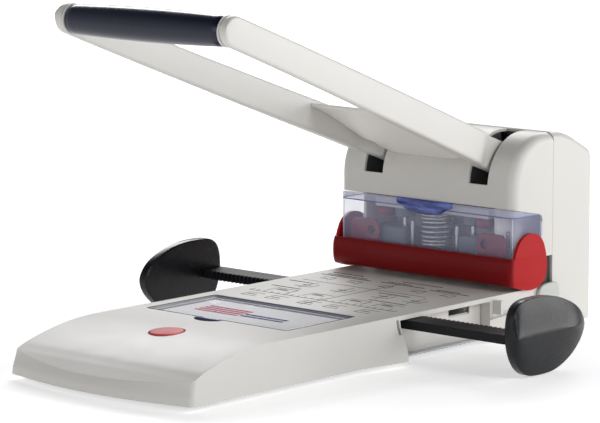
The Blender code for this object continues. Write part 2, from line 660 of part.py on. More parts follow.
def punch_parts(body):
    reach = 66.0
    x = HOLE_SPACING / 2
    yoke = box(-reach, reach, YOKE_FRONT, YOKE_BACK, *YOKE_Z)
    post_hole = disc("Z", 0, PUNCH_Y, 7, YOKE_Z[0] - 5, YOKE_Z[0] + YOKE_POCKET, 16)
    foot = PUNCH_Y - 1.25 * DRIVE_MODULE
    sector_slot = box(-7.5, 7.5, foot, YOKE_BACK + 5, YOKE_Z[0] - 5, YOKE_Z[1] + 5)
    body.add("punch_yoke", boolean(yoke, [post_hole, sector_slot]), "steel")
    pitch = math.pi * DRIVE_MODULE
    low, high = YOKE_Z[1] + FIT, RACK_TOP
    teeth = rack_teeth(pitch, DRIVE_MODULE, DRIVE_BACKLASH, low + 1 - PIVOT_Z, high - 0.5 - PIVOT_Z)
    line = [(PUNCH_Y + height, PIVOT_Z + along) for along, height in teeth]
    front = foot - 5
    outline = [(front, low), (foot, low)] + line + [(foot, high), (foot - 1.5, high), (front, high - 7)]
    body.add("drive_rack", prism(outline, "X", -7, 7), "steel")
    for side, name in ((-1, "left"), (1, "right")):
        holder_low = GUIDE_TOP + PUNCH_DROP + 0.8
        body.add(f"punch_holder_{name}",
                 turned([(PUNCH_RADIUS + FIT, holder_low), (9, holder_low), (10, holder_low + 1),
                         (10, YOKE_Z[0] - FIT), (PUNCH_RADIUS + FIT, YOKE_Z[0] - FIT),
                         (PUNCH_RADIUS + FIT, holder_low)], side * x, PUNCH_Y, 20), "guide_grey")
        body.add(f"punch_pin_{name}", disc("Z", side * x, PUNCH_Y, PUNCH_RADIUS, PUNCH_TIP,
                                           YOKE_Z[0] - FIT, 16), "spring_steel")
        x0, x1 = sorted((side * (x + 10 + FIT), side * (x + 26)))
        clip = prism(round_rect(x0, x1, PUNCH_Y - 13, PUNCH_Y + 8, 3, 2), "Z", holder_low, YOKE_Z[0] - FIT)
        body.add(f"punch_clip_{name}", clip, "red")


# ---------------------------------------------------------------- handle
def arm_point(along, lift, x):
    """A point on the handle: along the arms from the pivot, and lifted square to them."""
    pitch = math.radians(ARM_PITCH)
    y = PIVOT_Y - along * math.cos(pitch) + lift * math.sin(pitch)
    z = PIVOT_Z + along * math.sin(pitch) + lift * math.cos(pitch)
    return x, y, z


def arm_section(side, along, centre, thick, height, chamfer=2.0):
    half_t, half_h = thick / 2, height / 2
    corners = [(half_t, half_h - chamfer), (half_t - chamfer, half_h), (chamfer - half_t, half_h),
               (-half_t, half_h - chamfer), (-half_t, chamfer - half_h), (chamfer - half_t, -half_h),
               (half_t - chamfer, -half_h), (half_t, chamfer - half_h)]
    return [arm_point(along, ARM_OFFSET + v, side * (centre + u)) for u, v in corners]


def arm_spread(t):
    """Centre and thickness of an arm, t running from the neck (0) to the grip (1)."""
    ease = 1 - (1 - t) ** 1.6
    centre = ARM_CENTRE[1] + (ARM_CENTRE[0] - ARM_CENTRE[1]) * ease
    return centre, ARM_THICK[1] + (ARM_THICK[0] - ARM_THICK[1]) * min(1, 1.6 * t)


def handle_arm(side):
    grip_h, root_h = ARM_HEIGHT
    grip_t, root_t = ARM_THICK
    grip_x, root_x = ARM_CENTRE
    stations = [(0.0, ARM_SLOT_CENTRE, root_t, root_h), (ARM_NECK[0], ARM_SLOT_CENTRE, root_t, root_h),
                (ARM_NECK[0] + 8, ARM_SLOT_CENTRE + 3, root_t + 1.5, root_h),
                (ARM_NECK[1], root_x, root_t, root_h)]
    for i in range(1, 7):
        t = i / 6
        along = ARM_NECK[1] + (ARM_REACH - ARM_NECK[1]) * t
        stations.append((along, *arm_spread(t), root_h + (grip_h - root_h) * t))
    for i in range(1, 5):
        angle = math.radians(88 * i / 4)
        stations.append((ARM_REACH + grip_h / 2 * math.sin(angle), grip_x, grip_t, grip_h * math.cos(angle)))
    body = loft([arm_section(side, *s[:3], s[3], min(2.0, s[3] / 4)) for s in stations])
    x0, x1 = sorted((side * (ARM_SLOT_CENTRE - root_t / 2), side * (ARM_SLOT_CENTRE + root_t / 2)))
    lug = disc("X", PIVOT_Y, PIVOT_Z, 17, x0, x1, 24)
    body = boolean(body, [lug], "UNION")
    bore = disc("X", PIVOT_Y, PIVOT_Z, SHAFT_RADIUS + RUNNING, x0 - 5, x1 + 5, 20)
    inner = grip_x - grip_t / 2
    low, high = sorted((side * (inner - 2), side * (inner + GRIP_BITE + 0.5)))
    _, grip_y, grip_z = arm_point(ARM_REACH, ARM_OFFSET, 0)
    socket = disc("X", grip_y, grip_z, GRIP_ROD + FIT, low, high, 16)
    return boolean(body, [bore, socket])


def handle_web():
    low, high = WEB_SPAN
    sections = []
    for i in range(7):
        along = low + (high - low) * i / 6
        if along < ARM_NECK[1]:
            half = ARM_SLOT_CENTRE - ARM_THICK[1] / 2 - FIT
        else:
            centre, thick = arm_spread((along - ARM_NECK[1]) / (ARM_REACH - ARM_NECK[1]))
            half = centre - thick / 2 - FIT - 0.4
        lift = ARM_OFFSET + WEB_LIFT
        sections.append([arm_point(along, lift, -half), arm_point(along, lift, half),
                         arm_point(along, lift + WEB_T, half), arm_point(along, lift + WEB_T, -half)])
    return loft(sections)


def handle_parts(body):
    for side, name in ((-1, "left"), (1, "right")):
        body.add(f"handle_arm_{name}", handle_arm(side), "shell")
    body.add("handle_web", handle_web(), "shell")
    _, y, z = arm_point(ARM_REACH, ARM_OFFSET, 0)
    inner = ARM_CENTRE[0] - ARM_THICK[0] / 2
    body.add("grip_rod", disc("X", y, z, GRIP_ROD, -inner - GRIP_BITE, inner + GRIP_BITE, 16), "steel")
    for side, name in ((-1, "left"), (1, "right")):
        low, high = sorted((side * (inner - FIT), side * (inner - FIT - COLLAR_T)))
        body.add(f"grip_collar_{name}", tube("X", y, z, GRIP_RADIUS, GRIP_ROD + FIT, low, high, 24), "shell")
    end = inner - 2 * FIT - COLLAR_T
    count = 12
    outer = []
    for i in range(count + 1):
        x = -end + 2 * end * i / count
        radius = GRIP_RADIUS + GRIP_CROWN * (1 - (x / end) ** 2)
        outer.append([(x, *p) for p in circle(y, z, radius, 24)])
    bore = disc("X", y, z, GRIP_ROD + FIT, -end - 5, end + 5, 24)
    body.add("grip_sleeve", boolean(loft(outer), [bore]), "grip")
    # The outline's angle runs from +Y towards +Z; the rack is on the -Y side of the shaft.
    outline = gear_outline(DRIVE_TEETH, DRIVE_MODULE, DRIVE_BACKLASH, -2, 3, 13.0)
    points = [(PIVOT_Y - u, PIVOT_Z - v) for u, v in outline]
    sector = prism(points, "X", -6, 6)
    hub = disc("X", PIVOT_Y, PIVOT_Z, 10, -ARM_SLOT_CENTRE + 8.5, ARM_SLOT_CENTRE - 8.5, 20)
    bore = disc("X", PIVOT_Y, PIVOT_Z, SHAFT_RADIUS + RUNNING, -70, 70, 20)
    body.add("drive_sector", boolean(boolean(sector, [hub], "UNION"), [bore]), "steel")


# ---------------------------------------------------------------- side stops
def stop_outline():
    """(y, z) outline of the right paddle, blunt at the front and pointed at the back."""
    corners = [(-50, -4), (-48.5, 18), (-38, 28.5), (-14, 30.5), (9, 28), (30, 21), (43, 13), (50, 3),
               (49.5, -6), (43, -16), (30, -26.5), (11, -34.5), (-10, -36.3), (-30, -34), (-43, -23)]
    return smooth_closed(corners, 2)


def paddle(turn):
    """turn is 1 for the right stop and -1 for the left, which is the same piece turned round."""
    ridge = 37.0
    sections = []
    for out, shrink_y, shrink_z in ((0, 0.96, 0.95), (1.2, 1, 1), (5.0, 1, 1), (7.5, 0.96, 0.93),
                                    (11.0, 0.93, 0.62), (PADDLE_T, 0.88, 0.06)):
        sections.append([(turn * (STOP_FACE + out), PINION_Y + turn * y * shrink_y, ridge + z * shrink_z)
                         for y, z in stop_outline()])
    return loft(sections)


def stop_bar(turn):
    pitch = math.pi * STOP_MODULE
    end, start = STOP_FACE - FIT, -10.0
    teeth = rack_teeth(pitch, STOP_MODULE, STOP_BACKLASH, start, end - 12)
    line = [(along, PINION_RADIUS - height) for along, height in teeth]
    outline = [(start, BAR_INNER + BAR_DEPTH), (start, BAR_INNER)] + line
    outline += [(end, BAR_INNER), (end, BAR_INNER + BAR_DEPTH)]
    points = [(turn * x, PINION_Y - turn * y) for x, y in outline]
    return prism(points, "Z", *BAR_Z)


def stop_parts(base, right, left, pinion):
    front, rear = SIDE_RECESS
    inner = HALF - RECESS_DEPTH
    y0, y1 = front + FIT, rear - FIT
    outer = box(-inner, inner, y0, y1, SHEET_TOP + FIT, BAR_Z[0] - FIT)
    wall = STOP_TRAY_WALL
    hollow = box(-inner + wall, inner - wall, y0 + wall, y1 - wall, SHEET_TOP + FIT + wall, BAR_Z[1])
    base.add("stop_tray", boolean(outer, [hollow]), "shell")
    rail = BAR_INNER + BAR_DEPTH + FIT
    for turn, name in ((1, "front"), (-1, "rear")):
        low, high = sorted((PINION_Y - turn * rail, PINION_Y - turn * (rail + RAIL_T)))
        base.add(f"bar_rail_{name}", box(-inner + 3, inner - 3, low, high, SHEET_TOP + FIT + 2 + FIT,
                                         BAR_Z[1]), "nylon")
    base.add("pinion_post", turned([(0, SHEET_TOP + 2 + 2 * FIT), (9, SHEET_TOP + 2 + 2 * FIT),
                                    (9, BAR_Z[0] - FIT), (4, BAR_Z[0] - FIT), (4, BAR_Z[1]),
                                    (0, BAR_Z[1])], 0, PINION_Y, 20), "nylon")
    # Tooth 0 of the outline points to +X; a quarter turn brings teeth to both bars.
    quarter = [(-v, u) for u, v in gear_outline(PINION_TEETH, STOP_MODULE, STOP_BACKLASH)]
    gear = prism([(u, PINION_Y + v) for u, v in quarter], "Z", *BAR_Z)
    pinion.add("stop_pinion", boolean(gear, [disc("Z", 0, PINION_Y, 4 + RUNNING, 20, 50, 20)]), "nylon")
    for turn, body, name in ((1, right, "right"), (-1, left, "left")):
        body.add(f"{name}_stop_bar", stop_bar(turn), "black")
        body.add(f"{name}_stop_paddle", paddle(turn), "black")


# ---------------------------------------------------------------- depot, button, tray, latch
def depot_parts(base, lid_body):
    ledge = LID_LEDGE
    x0, x1 = LID_X[0] + ledge, LID_X[1] - ledge
    y0, y1 = LID_Y[0] + ledge, LID_Y[1] - ledge
    top = PLATE_UNDER - FIT
    wall = 1.6
    tub = box(x0 - wall, x1 + wall, y0 - wall, y1 + wall, top - DEPOT_DEPTH, top)
    hollow = box(x0, x1, y0, y1, top - DEPOT_DEPTH + wall, top + 5)
    base.add("depot_tray", boolean(tub, [hollow]), "shell_dark")
    lid = prism(round_rect(*LID_X, *LID_Y, LID_CORNER, 2), "Z", TABLE_Z - LID_T, TABLE_Z)
    thumb = disc("Z", NOTCH_X, LID_Y[0] - 4, 10, TABLE_Z - 8, TABLE_Z + 5, 20)
    lid_body.add("depot_lid", boolean(lid, [thumb]), "clear")
    card = box(x0 + 4, x1 - 4, y0 + 4, y1 - 4, TABLE_Z - LID_T - FIT - 0.6, TABLE_Z - LID_T - FIT)
    lid_body.add("label_card", card, "card")


def button_parts(base, button):
    low = PLATE_UNDER - 8.0
    top = TABLE_Z + BUTTON_PROUD
    cap = turned([(0, low), (BUTTON_RADIUS, low), (BUTTON_RADIUS, top - 1.5), (BUTTON_RADIUS - 1.2, top - 0.3),
                  (9, top + 0.7), (4, top + 1.1), (0, top + 1.2)], 0, BUTTON_Y, 32)
    button.add("release_button", cap, "button_red")
    socket_low = SHEET_TOP + FIT
    inner, rim = BUTTON_RADIUS + 0.6, PLATE_UNDER - SOCKET_DROP
    socket = [(0, socket_low), (inner + 2.4, socket_low), (inner + 2.4, rim), (inner, rim),
              (inner, socket_low + 2), (0, socket_low + 2)]
    base.add("button_socket", turned(socket, 0, BUTTON_Y, 24), "nylon")
    spring_low = socket_low + 2 + FIT
    button.add("button_spring", coil(0, BUTTON_Y, spring_low, low - FIT, 7, 0.8, 5, 10, 5), "spring_steel")


def chip_tray():
    half = TRAY_WIDTH / 2
    low, high = TRAY_Z
    outer = box(-half, half, TRAY_FRONT, LENGTH, low, high)
    hollow = box(-half + 2, half - 2, TRAY_FRONT + 2, LENGTH - 4.5, low + 2, high + 5)
    pull = prism(round_rect(-24, 24, low + 6, high - 4, 5, 3), "Y", LENGTH - 2.5, LENGTH + 5)
    return boolean(outer, [hollow, pull])


def latch_tab():
    low, high = HEAD_BOTTOM - 13.5, HEAD_BOTTOM - 0.6
    lens = [(LATCH_HALF * math.cos(a), low + 6 + 6 * math.sin(a)) for a in
            [math.pi + math.pi * i / 12 for i in range(13)]]
    outline = lens + [(LATCH_HALF, high), (-LATCH_HALF, high)]
    return prism(outline, "Y", HEAD_FRONT - LATCH_T, HEAD_FRONT)


def build():
    for obj in list(bpy.data.objects):
        bpy.data.objects.remove(obj)
    base = Body("base")
    base_parts(base)
    head_parts(base)
    frame_parts(base)
    handle_parts(Body("handle", (0, PIVOT_Y, PIVOT_Z)))
    drive = Body("punch_drive", (0, PUNCH_Y, THROAT_TOP))
    punch_parts(drive)
    spring = coil(0, PUNCH_Y, BRIDGE_TOP + FIT, YOKE_Z[0] - FIT, SPRING_RADIUS, SPRING_WIRE, SPRING_TURNS)
    drive.add("return_spring", spring, "spring_steel")
    Body("guard_swing", (0, *EAR_PIVOT)).add("finger_guard", finger_guard(), "red")
    stop_parts(base, Body("right_stop", (STOP_FACE, PINION_Y, BAR_Z[0])),
               Body("left_stop", (-STOP_FACE, PINION_Y, BAR_Z[0])), Body("pinion", (0, PINION_Y, BAR_Z[0])))
    depot_parts(base, Body("lid", (0, LID_Y[1], TABLE_Z)))
    button_parts(base, Body("button", (0, BUTTON_Y, TABLE_Z)))
    Body("tray", (0, LENGTH, TRAY_Z[0])).add("chip_tray", chip_tray(), "shell")
    Body("latch", (0, HEAD_FRONT, HEAD_BOTTOM)).add("latch_tab", latch_tab(), "latch_blue")


build()
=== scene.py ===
"""Looks of a heavy-duty two-hole paper punch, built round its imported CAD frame.

Shapes are given in millimetres: X to the right, Y back from the front edge of the base,
Z up from the surface that the punch stands on. place() turns them into the frame's metres.
"""
from math import atan, cos, degrees, pi, radians, sin, sqrt, tan

import bmesh
import bpy
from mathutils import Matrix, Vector


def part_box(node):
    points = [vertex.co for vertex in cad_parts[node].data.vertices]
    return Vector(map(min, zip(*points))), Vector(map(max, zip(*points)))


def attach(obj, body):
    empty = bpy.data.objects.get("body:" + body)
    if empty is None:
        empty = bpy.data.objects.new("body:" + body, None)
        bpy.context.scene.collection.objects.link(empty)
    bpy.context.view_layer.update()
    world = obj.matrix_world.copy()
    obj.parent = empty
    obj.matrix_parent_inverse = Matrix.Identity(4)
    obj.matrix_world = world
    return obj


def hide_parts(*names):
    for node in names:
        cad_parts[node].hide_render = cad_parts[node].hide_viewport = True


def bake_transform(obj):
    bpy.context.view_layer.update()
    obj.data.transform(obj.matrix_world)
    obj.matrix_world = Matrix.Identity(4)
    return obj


MM = 0.001
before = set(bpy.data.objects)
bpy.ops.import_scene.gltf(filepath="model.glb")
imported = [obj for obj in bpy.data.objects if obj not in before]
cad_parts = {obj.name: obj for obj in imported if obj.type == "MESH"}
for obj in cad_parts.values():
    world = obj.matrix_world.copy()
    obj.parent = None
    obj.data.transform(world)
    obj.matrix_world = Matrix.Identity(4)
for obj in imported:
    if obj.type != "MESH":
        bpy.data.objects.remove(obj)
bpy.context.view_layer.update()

# ---------------------------------------------------------------- places read from the frame
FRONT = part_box("base_cover")[0].y


class Span:
    """The box of a CAD node in design millimetres."""

    def __init__(self, node):
        low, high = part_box(node)
        self.x0, self.x1 = low.x / MM, high.x / MM
        self.y0, self.y1 = (low.y - FRONT) / MM, (high.y - FRONT) / MM
        self.z0, self.z1 = low.z / MM, high.z / MM
        self.x, self.y = (self.x0 + self.x1) / 2, (self.y0 + self.y1) / 2
        self.z = (self.z0 + self.z1) / 2


def place(x, y, z):
    return Vector((x * MM, FRONT + y * MM, z * MM))


BASE = Span("base_cover")
HEAD = Span("head_front_cover")
REAR = Span("head_rear_cover")
GUARD = Span("clear_guard")
BAR = Span("finger_guard")
SHAFT = Span("pivot_shaft")
GRIP = Span("grip_sleeve")
COLLAR = Span("grip_collar_right")
LID = Span("depot_lid")
CARD = Span("label_card")
BUTTON = Span("release_button")
SPRING = Span("return_spring")
STOP_TRAY = Span("stop_tray")
PADDLE = Span("right_stop_paddle")
LATCH = Span("latch_tab")
TRAY = Span("chip_tray")
DEPOT = Span("depot_tray")
DIE = Span("cutting_disc_right")
COIL = Span("button_spring")
PLATE = Span("base_plate")

HALF = BASE.x1
TABLE = BASE.z1
FLOOR_GAP = BASE.z0
PIVOT_Y, PIVOT_Z = SHAFT.y, SHAFT.z
HEAD_RADIUS = HEAD.z1 - PIVOT_Z
HEAD_BOTTOM = GUARD.z1
DIE_X, PUNCH_LINE, DIE_RADIUS = DIE.x, DIE.y, (DIE.x1 - DIE.x0) / 2
WALL = 2.6                  # plastic covers
GAP = 0.3                   # room between parts that meet
MERGE = 1e-7                # points closer than this, in metres, become one
PAST = 5.0                  # how far a cutter reaches beyond the surface that it opens
SIDES = ((-1, "left"), (1, "right"))


def mirrored(side, near, far):
    """A span to the left (-1) or the right (1) of the middle, low end first."""
    return sorted((side * near, side * far))


# ---------------------------------------------------------------- outlines
def arc(cu, cv, radius, start, end, steps):
    """Points on an arc between two angles in degrees."""
    angles = [radians(start + (end - start) * i / steps) for i in range(steps + 1)]
    return [(cu + radius * cos(a), cv + radius * sin(a)) for a in angles]


def circle(cu, cv, radius, steps):
    return arc(cu, cv, radius, 0, 360, steps)[:-1]


def round_rect(u0, u1, v0, v1, radius, steps=5):
    corners = ((u1 - radius, v1 - radius, 0), (u0 + radius, v1 - radius, 90),
               (u0 + radius, v0 + radius, 180), (u1 - radius, v0 + radius, 270))
    points = []
    for cu, cv, start in corners:
        points += arc(cu, cv, radius, start, start + 90, steps)
    return points


def curve_points(a, b, c, d, steps):
    """Points of a Catmull-Rom curve, from the second of four places up to the third."""
    a, b, c, d = (Vector(p) for p in (a, b, c, d))
    return [tuple(0.5 * (2 * b + (c - a) * t + (2 * a - 5 * b + 4 * c - d) * t * t
                         + (3 * b - a - 3 * c + d) * t ** 3)) for t in (s / steps for s in range(steps))]


def smooth_closed(points, steps):
    """A closed curve through the given points."""
    count = len(points)
    return [p for i in range(count)
            for p in curve_points(*(points[(i + k) % count] for k in (-1, 0, 1, 2)), steps)]


def smooth_open(points, steps):
    """An open curve through the given points."""
    padded = [points[0], *points, points[-1]]
    curve = [p for i in range(len(points) - 1) for p in curve_points(*padded[i:i + 4], steps)]
    return curve + [tuple(points[-1])]


def ease(t):
    """Smooth step from 0 to 1."""
    t = min(1.0, max(0.0, t))
    return t * t * (3 - 2 * t)


# ---------------------------------------------------------------- solids
AXES = {
    "X": lambda u, v, w: (w, u, v),
    "Y": lambda u, v, w: (u, w, v),
    "Z": lambda u, v, w: (u, v, w),
}


def closed_mesh(bm):
    bmesh.ops.remove_doubles(bm, verts=bm.verts, dist=MERGE)
    bmesh.ops.recalc_face_normals(bm, faces=bm.faces)
    return bm


def loft(sections):
    """Skin a row of equal closed sections and close its two ends."""
    bm = bmesh.new()
    rings = [[bm.verts.new(place(*p)) for p in section] for section in sections]
    for low, high in zip(rings, rings[1:]):
        for i in range(len(low)):
            j = (i + 1) % len(low)
            bm.faces.new((low[i], low[j], high[j], high[i]))
    bm.faces.new(rings[0])
    bm.faces.new(rings[-1])
    return closed_mesh(bm)


def prism(outline, axis, low, high):
    turn = AXES[axis]
    return loft([[turn(u, v, w) for u, v in outline] for w in (low, high)])


def box(x0, x1, y0, y1, z0, z1):
    return prism([(x0, y0), (x1, y0), (x1, y1), (x0, y1)], "Z", z0, z1)


def slab(x0, x1, y0, y1, z0, z1, radius, steps=5):
    """A block with rounded upright corners."""
    return prism(round_rect(x0, x1, y0, y1, radius, steps), "Z", z0, z1)


def disc(axis, u, v, radius, low, high, steps=48):
    return prism(circle(u, v, radius, steps), axis, low, high)


def turned(profile, axis, u, v, steps=48):
    """Turn (radius, along) points about an axis; a radius of 0 closes an end."""
    turn = AXES[axis]
    bm = bmesh.new()
    previous = None
    for radius, along in profile:
        points = [(u, v)] if radius == 0 else circle(u, v, radius, steps)
        loop = [bm.verts.new(place(*turn(a, b, along))) for a, b in points]
        if previous:
            for i in range(steps):
                j = (i + 1) % steps
                if len(previous) == 1 and len(loop) > 1:
                    bm.faces.new((previous[0], loop[i], loop[j]))
                elif len(loop) == 1 and len(previous) > 1:
                    bm.faces.new((previous[i], previous[j], loop[0]))
                elif len(loop) > 1:
                    bm.faces.new((previous[i], previous[j], loop[j], loop[i]))
        previous = loop
    return closed_mesh(bm)


def swept_tube(centres, radius, sides=10):
    """A closed round tube along a list of points."""
    points = [Vector(c) for c in centres]
    sections = []
    normal = None
    for i, point in enumerate(points):
        ahead = points[min(i + 1, len(points) - 1)] - points[max(i - 1, 0)]
        ahead.normalize()
        if normal is None:
            normal = ahead.orthogonal().normalized()
        normal = (normal - ahead * normal.dot(ahead)).normalized()
        side = ahead.cross(normal)
        sections.append([point + normal * radius * cos(a) + side * radius * sin(a)
                         for a in (2 * pi * k / sides for k in range(sides))])
    return loft(sections)


def mesh_from(bm, name="temporary"):
    """A mesh with a bmesh's faces; the bmesh is spent."""
    mesh = bpy.data.meshes.new(name)
    bm.to_mesh(mesh)
    bm.free()
    return mesh


def stand(name, data):
    """A new object in the scene."""
    obj = bpy.data.objects.new(name, data)
    bpy.context.scene.collection.objects.link(obj)
    return obj


def join(*solids):
    """Several bmeshes in one, without cutting them against each other."""
    result = bmesh.new()
    for solid in solids:
        mesh = mesh_from(solid)
        result.from_mesh(mesh)
        bpy.data.meshes.remove(mesh)
    return result


def design(vert):
    """A vertex's place in millimetres."""
    return vert.co.x / MM, (vert.co.y - FRONT) / MM, vert.co.z / MM


def bevel(bm, width, segments=3, angle=35, test=None):
    """Round the edges sharper than the angle whose two ends, in millimetres, pass the test."""
    edges = [e for e in bm.edges if e.calc_face_angle(0) > radians(angle)
             and (test is None or test(design(e.verts[0]), design(e.verts[1])))]
    bmesh.ops.bevel(bm, geom=edges, offset=width * MM, segments=segments, profile=0.5,
                    affect="EDGES", clamp_overlap=True)
    return bm


def boolean(target, cutters, operation="DIFFERENCE"):
    """Cut a bmesh by others, or join or cross it with them; all of them are spent."""
    body, *tools = [stand("temporary", mesh_from(bm)) for bm in (target, *cutters)]
    for tool in tools:
        modifier = body.modifiers.new("cut", "BOOLEAN")
        modifier.operation = operation
        modifier.solver = "EXACT"
        modifier.object = tool
    evaluated = body.evaluated_get(bpy.context.evaluated_depsgraph_get())
    result = bmesh.new()
    result.from_mesh(evaluated.to_mesh())
    for obj in (body, *tools):
        mesh = obj.data
        bpy.data.objects.remove(obj)
        bpy.data.meshes.remove(mesh)
    bmesh.ops.remove_doubles(result, verts=result.verts, dist=MERGE)
    bmesh.ops.dissolve_degenerate(result, edges=result.edges, dist=MERGE)
    return result


def shift(bm, move):
    """Move every point by a rule on its place in millimetres."""
    for vert in bm.verts:
        vert.co = place(*move(*design(vert)))
    return bm


def sliced(bm, axis, places):
    """Extra cuts across an axis, so that a shape can follow a rule along it."""
    across = AXES[axis]
    for where in places:
        geometry = bm.verts[:] + bm.edges[:] + bm.faces[:]
        bmesh.ops.bisect_plane(bm, geom=geometry, plane_co=place(*across(0, 0, where)),
                               plane_no=across(0, 0, 1))
    return bm


def put(name, mesh, body, nodes=(), sharp=32, stretch=None):
    """Stand a finished mesh on its body, for the CAD nodes that it replaces.

    With stretch, the mesh keeps its place and is not attached to the body; the two points themselves are
    not used."""
    mesh.name = name
    mesh.shade_smooth()
    mesh.set_sharp_from_angle(angle=radians(sharp))
    obj = stand(name, mesh)
    if stretch:
        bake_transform(obj)
    else:
        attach(obj, body)
    if nodes:
        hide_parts(*nodes)


def piece(name, bm, finish, body, nodes=(), sharp=32, stretch=None):
    """A bmesh made into a finished part of the machine."""
    mesh = mesh_from(bm, name)
    mesh.materials.append(LOOKS[finish])
    put(name, mesh, body, nodes, sharp, stretch)


# ---------------------------------------------------------------- shader wording
def maths(operation, swapped=False):
    """A method that adds one Math node to the two values' tree."""
    def apply(self, other):
        first, second = (other, self) if swapped else (self, other)
        return self.look.node("ShaderNodeMath", {"operation": operation}, {0: first, 1: second})
    return apply


class Value:
    """A shader output that Python's operators work on."""

    def __init__(self, look, socket):
        self.look, self.socket = look, socket

    __add__ = __radd__ = maths("ADD")
    __mul__ = __rmul__ = maths("MULTIPLY")
    __sub__, __rsub__ = maths("SUBTRACT"), maths("SUBTRACT", True)
    __truediv__, __rtruediv__ = maths("DIVIDE"), maths("DIVIDE", True)


class Look:
    """One procedural material on Object coordinates."""

    def __init__(self, name, **constants):
        self.material = bpy.data.materials.new(name)
        self.material.use_nodes = True
        self.tree = self.material.node_tree
        self.shader = self.tree.nodes["Principled BSDF"]
        for key, value in constants.items():
            self.set(key.replace("_", " ").title().replace("Ior", "IOR"), value)
        self.place = self.node("ShaderNodeTexCoord", out="Object")

    def node(self, kind, settings=None, inputs=None, out=0):
        made = self.tree.nodes.new(kind)
        for key, value in (settings or {}).items():
            if key == "stops":
                ramp = made.color_ramp.elements
                while len(ramp) < len(value):
                    ramp.new(0.5)
                for element, (position, colour) in zip(ramp, value):
                    element.position = position
                    element.color = (*colour, 1.0)
            else:
                setattr(made, key, value)
        for key, value in (inputs or {}).items():
            self.feed(made.inputs[key], value)
        return Value(self, made.outputs[out])

    def feed(self, socket, value):
        if isinstance(value, Value):
            self.tree.links.new(value.socket, socket)
        elif isinstance(value, tuple) and len(value) == 3 and socket.type == "RGBA":
            socket.default_value = (*value, 1.0)
        else:
            socket.default_value = value

    def set(self, name, value):
        self.feed(self.shader.inputs[name], value)

    def noise(self, scale, detail=2.0, roughness=0.5, place=None):
        return self.node("ShaderNodeTexNoise", None, {"Vector": place or self.place, "Scale": scale,
                                                      "Detail": detail, "Roughness": roughness})

    def stretched(self, x, y, z):
        return self.node("ShaderNodeMapping", None, {"Vector": self.place, "Scale": (x, y, z)})

    def axis(self, letter):
        """One coordinate of the surface point, in metres."""
        return self.node("ShaderNodeSeparateXYZ", None, {"Vector": self.place}, letter)

    def blend(self, factor, first, second):
        """A colour between two others."""
        return self.node("ShaderNodeMix", {"data_type": "RGBA"},
                         {"Factor": factor, 6: first, 7: second}, 2)

    def bump(self, height, strength, distance):
        self.set("Normal", self.node("ShaderNodeBump", None, {
            "Height": height, "Strength": strength, "Distance": distance}))


def moulded(name, colour, roughness=0.45, tone=0.05, grain=0.12, grain_scale=1400, **constants):
    """Moulded plastic: a fine spark-eroded grain, faint clouding and uneven gloss."""
    look = Look(name, **constants)
    cloud = look.noise(9.0, 3.0)
    darker = tuple(c * (1 - tone) for c in colour)
    look.set("Base Color", look.blend(cloud, darker, colour))
    look.set("Roughness", look.noise(60.0, 2.0) * 0.10 + (roughness - 0.05))
    look.bump(look.noise(grain_scale, 2.0, 0.6), grain, 0.0004)
    return look


def machined(name, colour, roughness=0.3, lines=(900, 40, 40), **constants):
    """Bright metal with fine drawn lines and faint smudges."""
    look = Look(name, metallic=1.0, **constants)
    streak = look.noise(1.0, 3.0, 0.6, look.stretched(*lines))
    smudge = look.noise(30.0, 3.0)
    darker = tuple(c * 0.72 for c in colour)
    look.set("Base Color", look.blend(streak * 0.6 + smudge * 0.4, darker, colour))
    look.set("Roughness", smudge * 0.22 + streak * 0.1 + (roughness - 0.14))
    look.bump(streak, 0.15, 0.0003)
    return look


# ---------------------------------------------------------------- finishes
SIGNAL_RED = (0.42, 0.004, 0.006)


def red_finish():
    """Signal red plastic, with painted shade: the rail's front face is coloured darker than its ears."""
    red = moulded("signal_red_painted_shade", SIGNAL_RED, 0.36, 0.08, 0.10, specular_ior_level=0.16)
    # Painted shade: this mask darkens the base colour over the rail's front face.
    depth = (red.axis("Y") * 1000 - (FRONT * 1000 + BAR.y0 + 3)) / 4
    tone = red.blend(red.noise(9.0, 3.0), (0.39, 0.004, 0.006), SIGNAL_RED)
    red.set("Base Color", red.blend(depth, (0.19, 0.002, 0.003), tone))
    return red


def clear_plastic(name, colour, alpha, roughness=0.08, tone=0.03, coat=0.6, polish=0.03):
    return moulded(name, colour, roughness, tone, 0.0, alpha=alpha, coat_weight=coat,
                   coat_roughness=polish)


def print_ink(name, colour, tone=0.1):
    return moulded(name, colour, 0.8, tone, 0.05, specular_ior_level=0.0)


def latch_finish():
    """Glossy blue with lighter streaks of painted reflection in its colour."""
    latch = Look("latch_blue_painted_streaks", roughness=0.15, coat_weight=0.3, coat_roughness=0.04, alpha=0.94)
    # Painted reflection: the ramp below lightens the blue along stretched noise streaks.
    streak = latch.noise(1.0, 3.0, 0.6, latch.stretched(45, 10, 260))
    latch.set("Base Color", latch.node("ShaderNodeValToRGB", {"stops": [
        (0.38, (0.008, 0.02, 0.16)), (0.52, (0.02, 0.05, 0.32)), (0.66, (0.12, 0.18, 0.55))]},
        {0: streak}))
    return latch


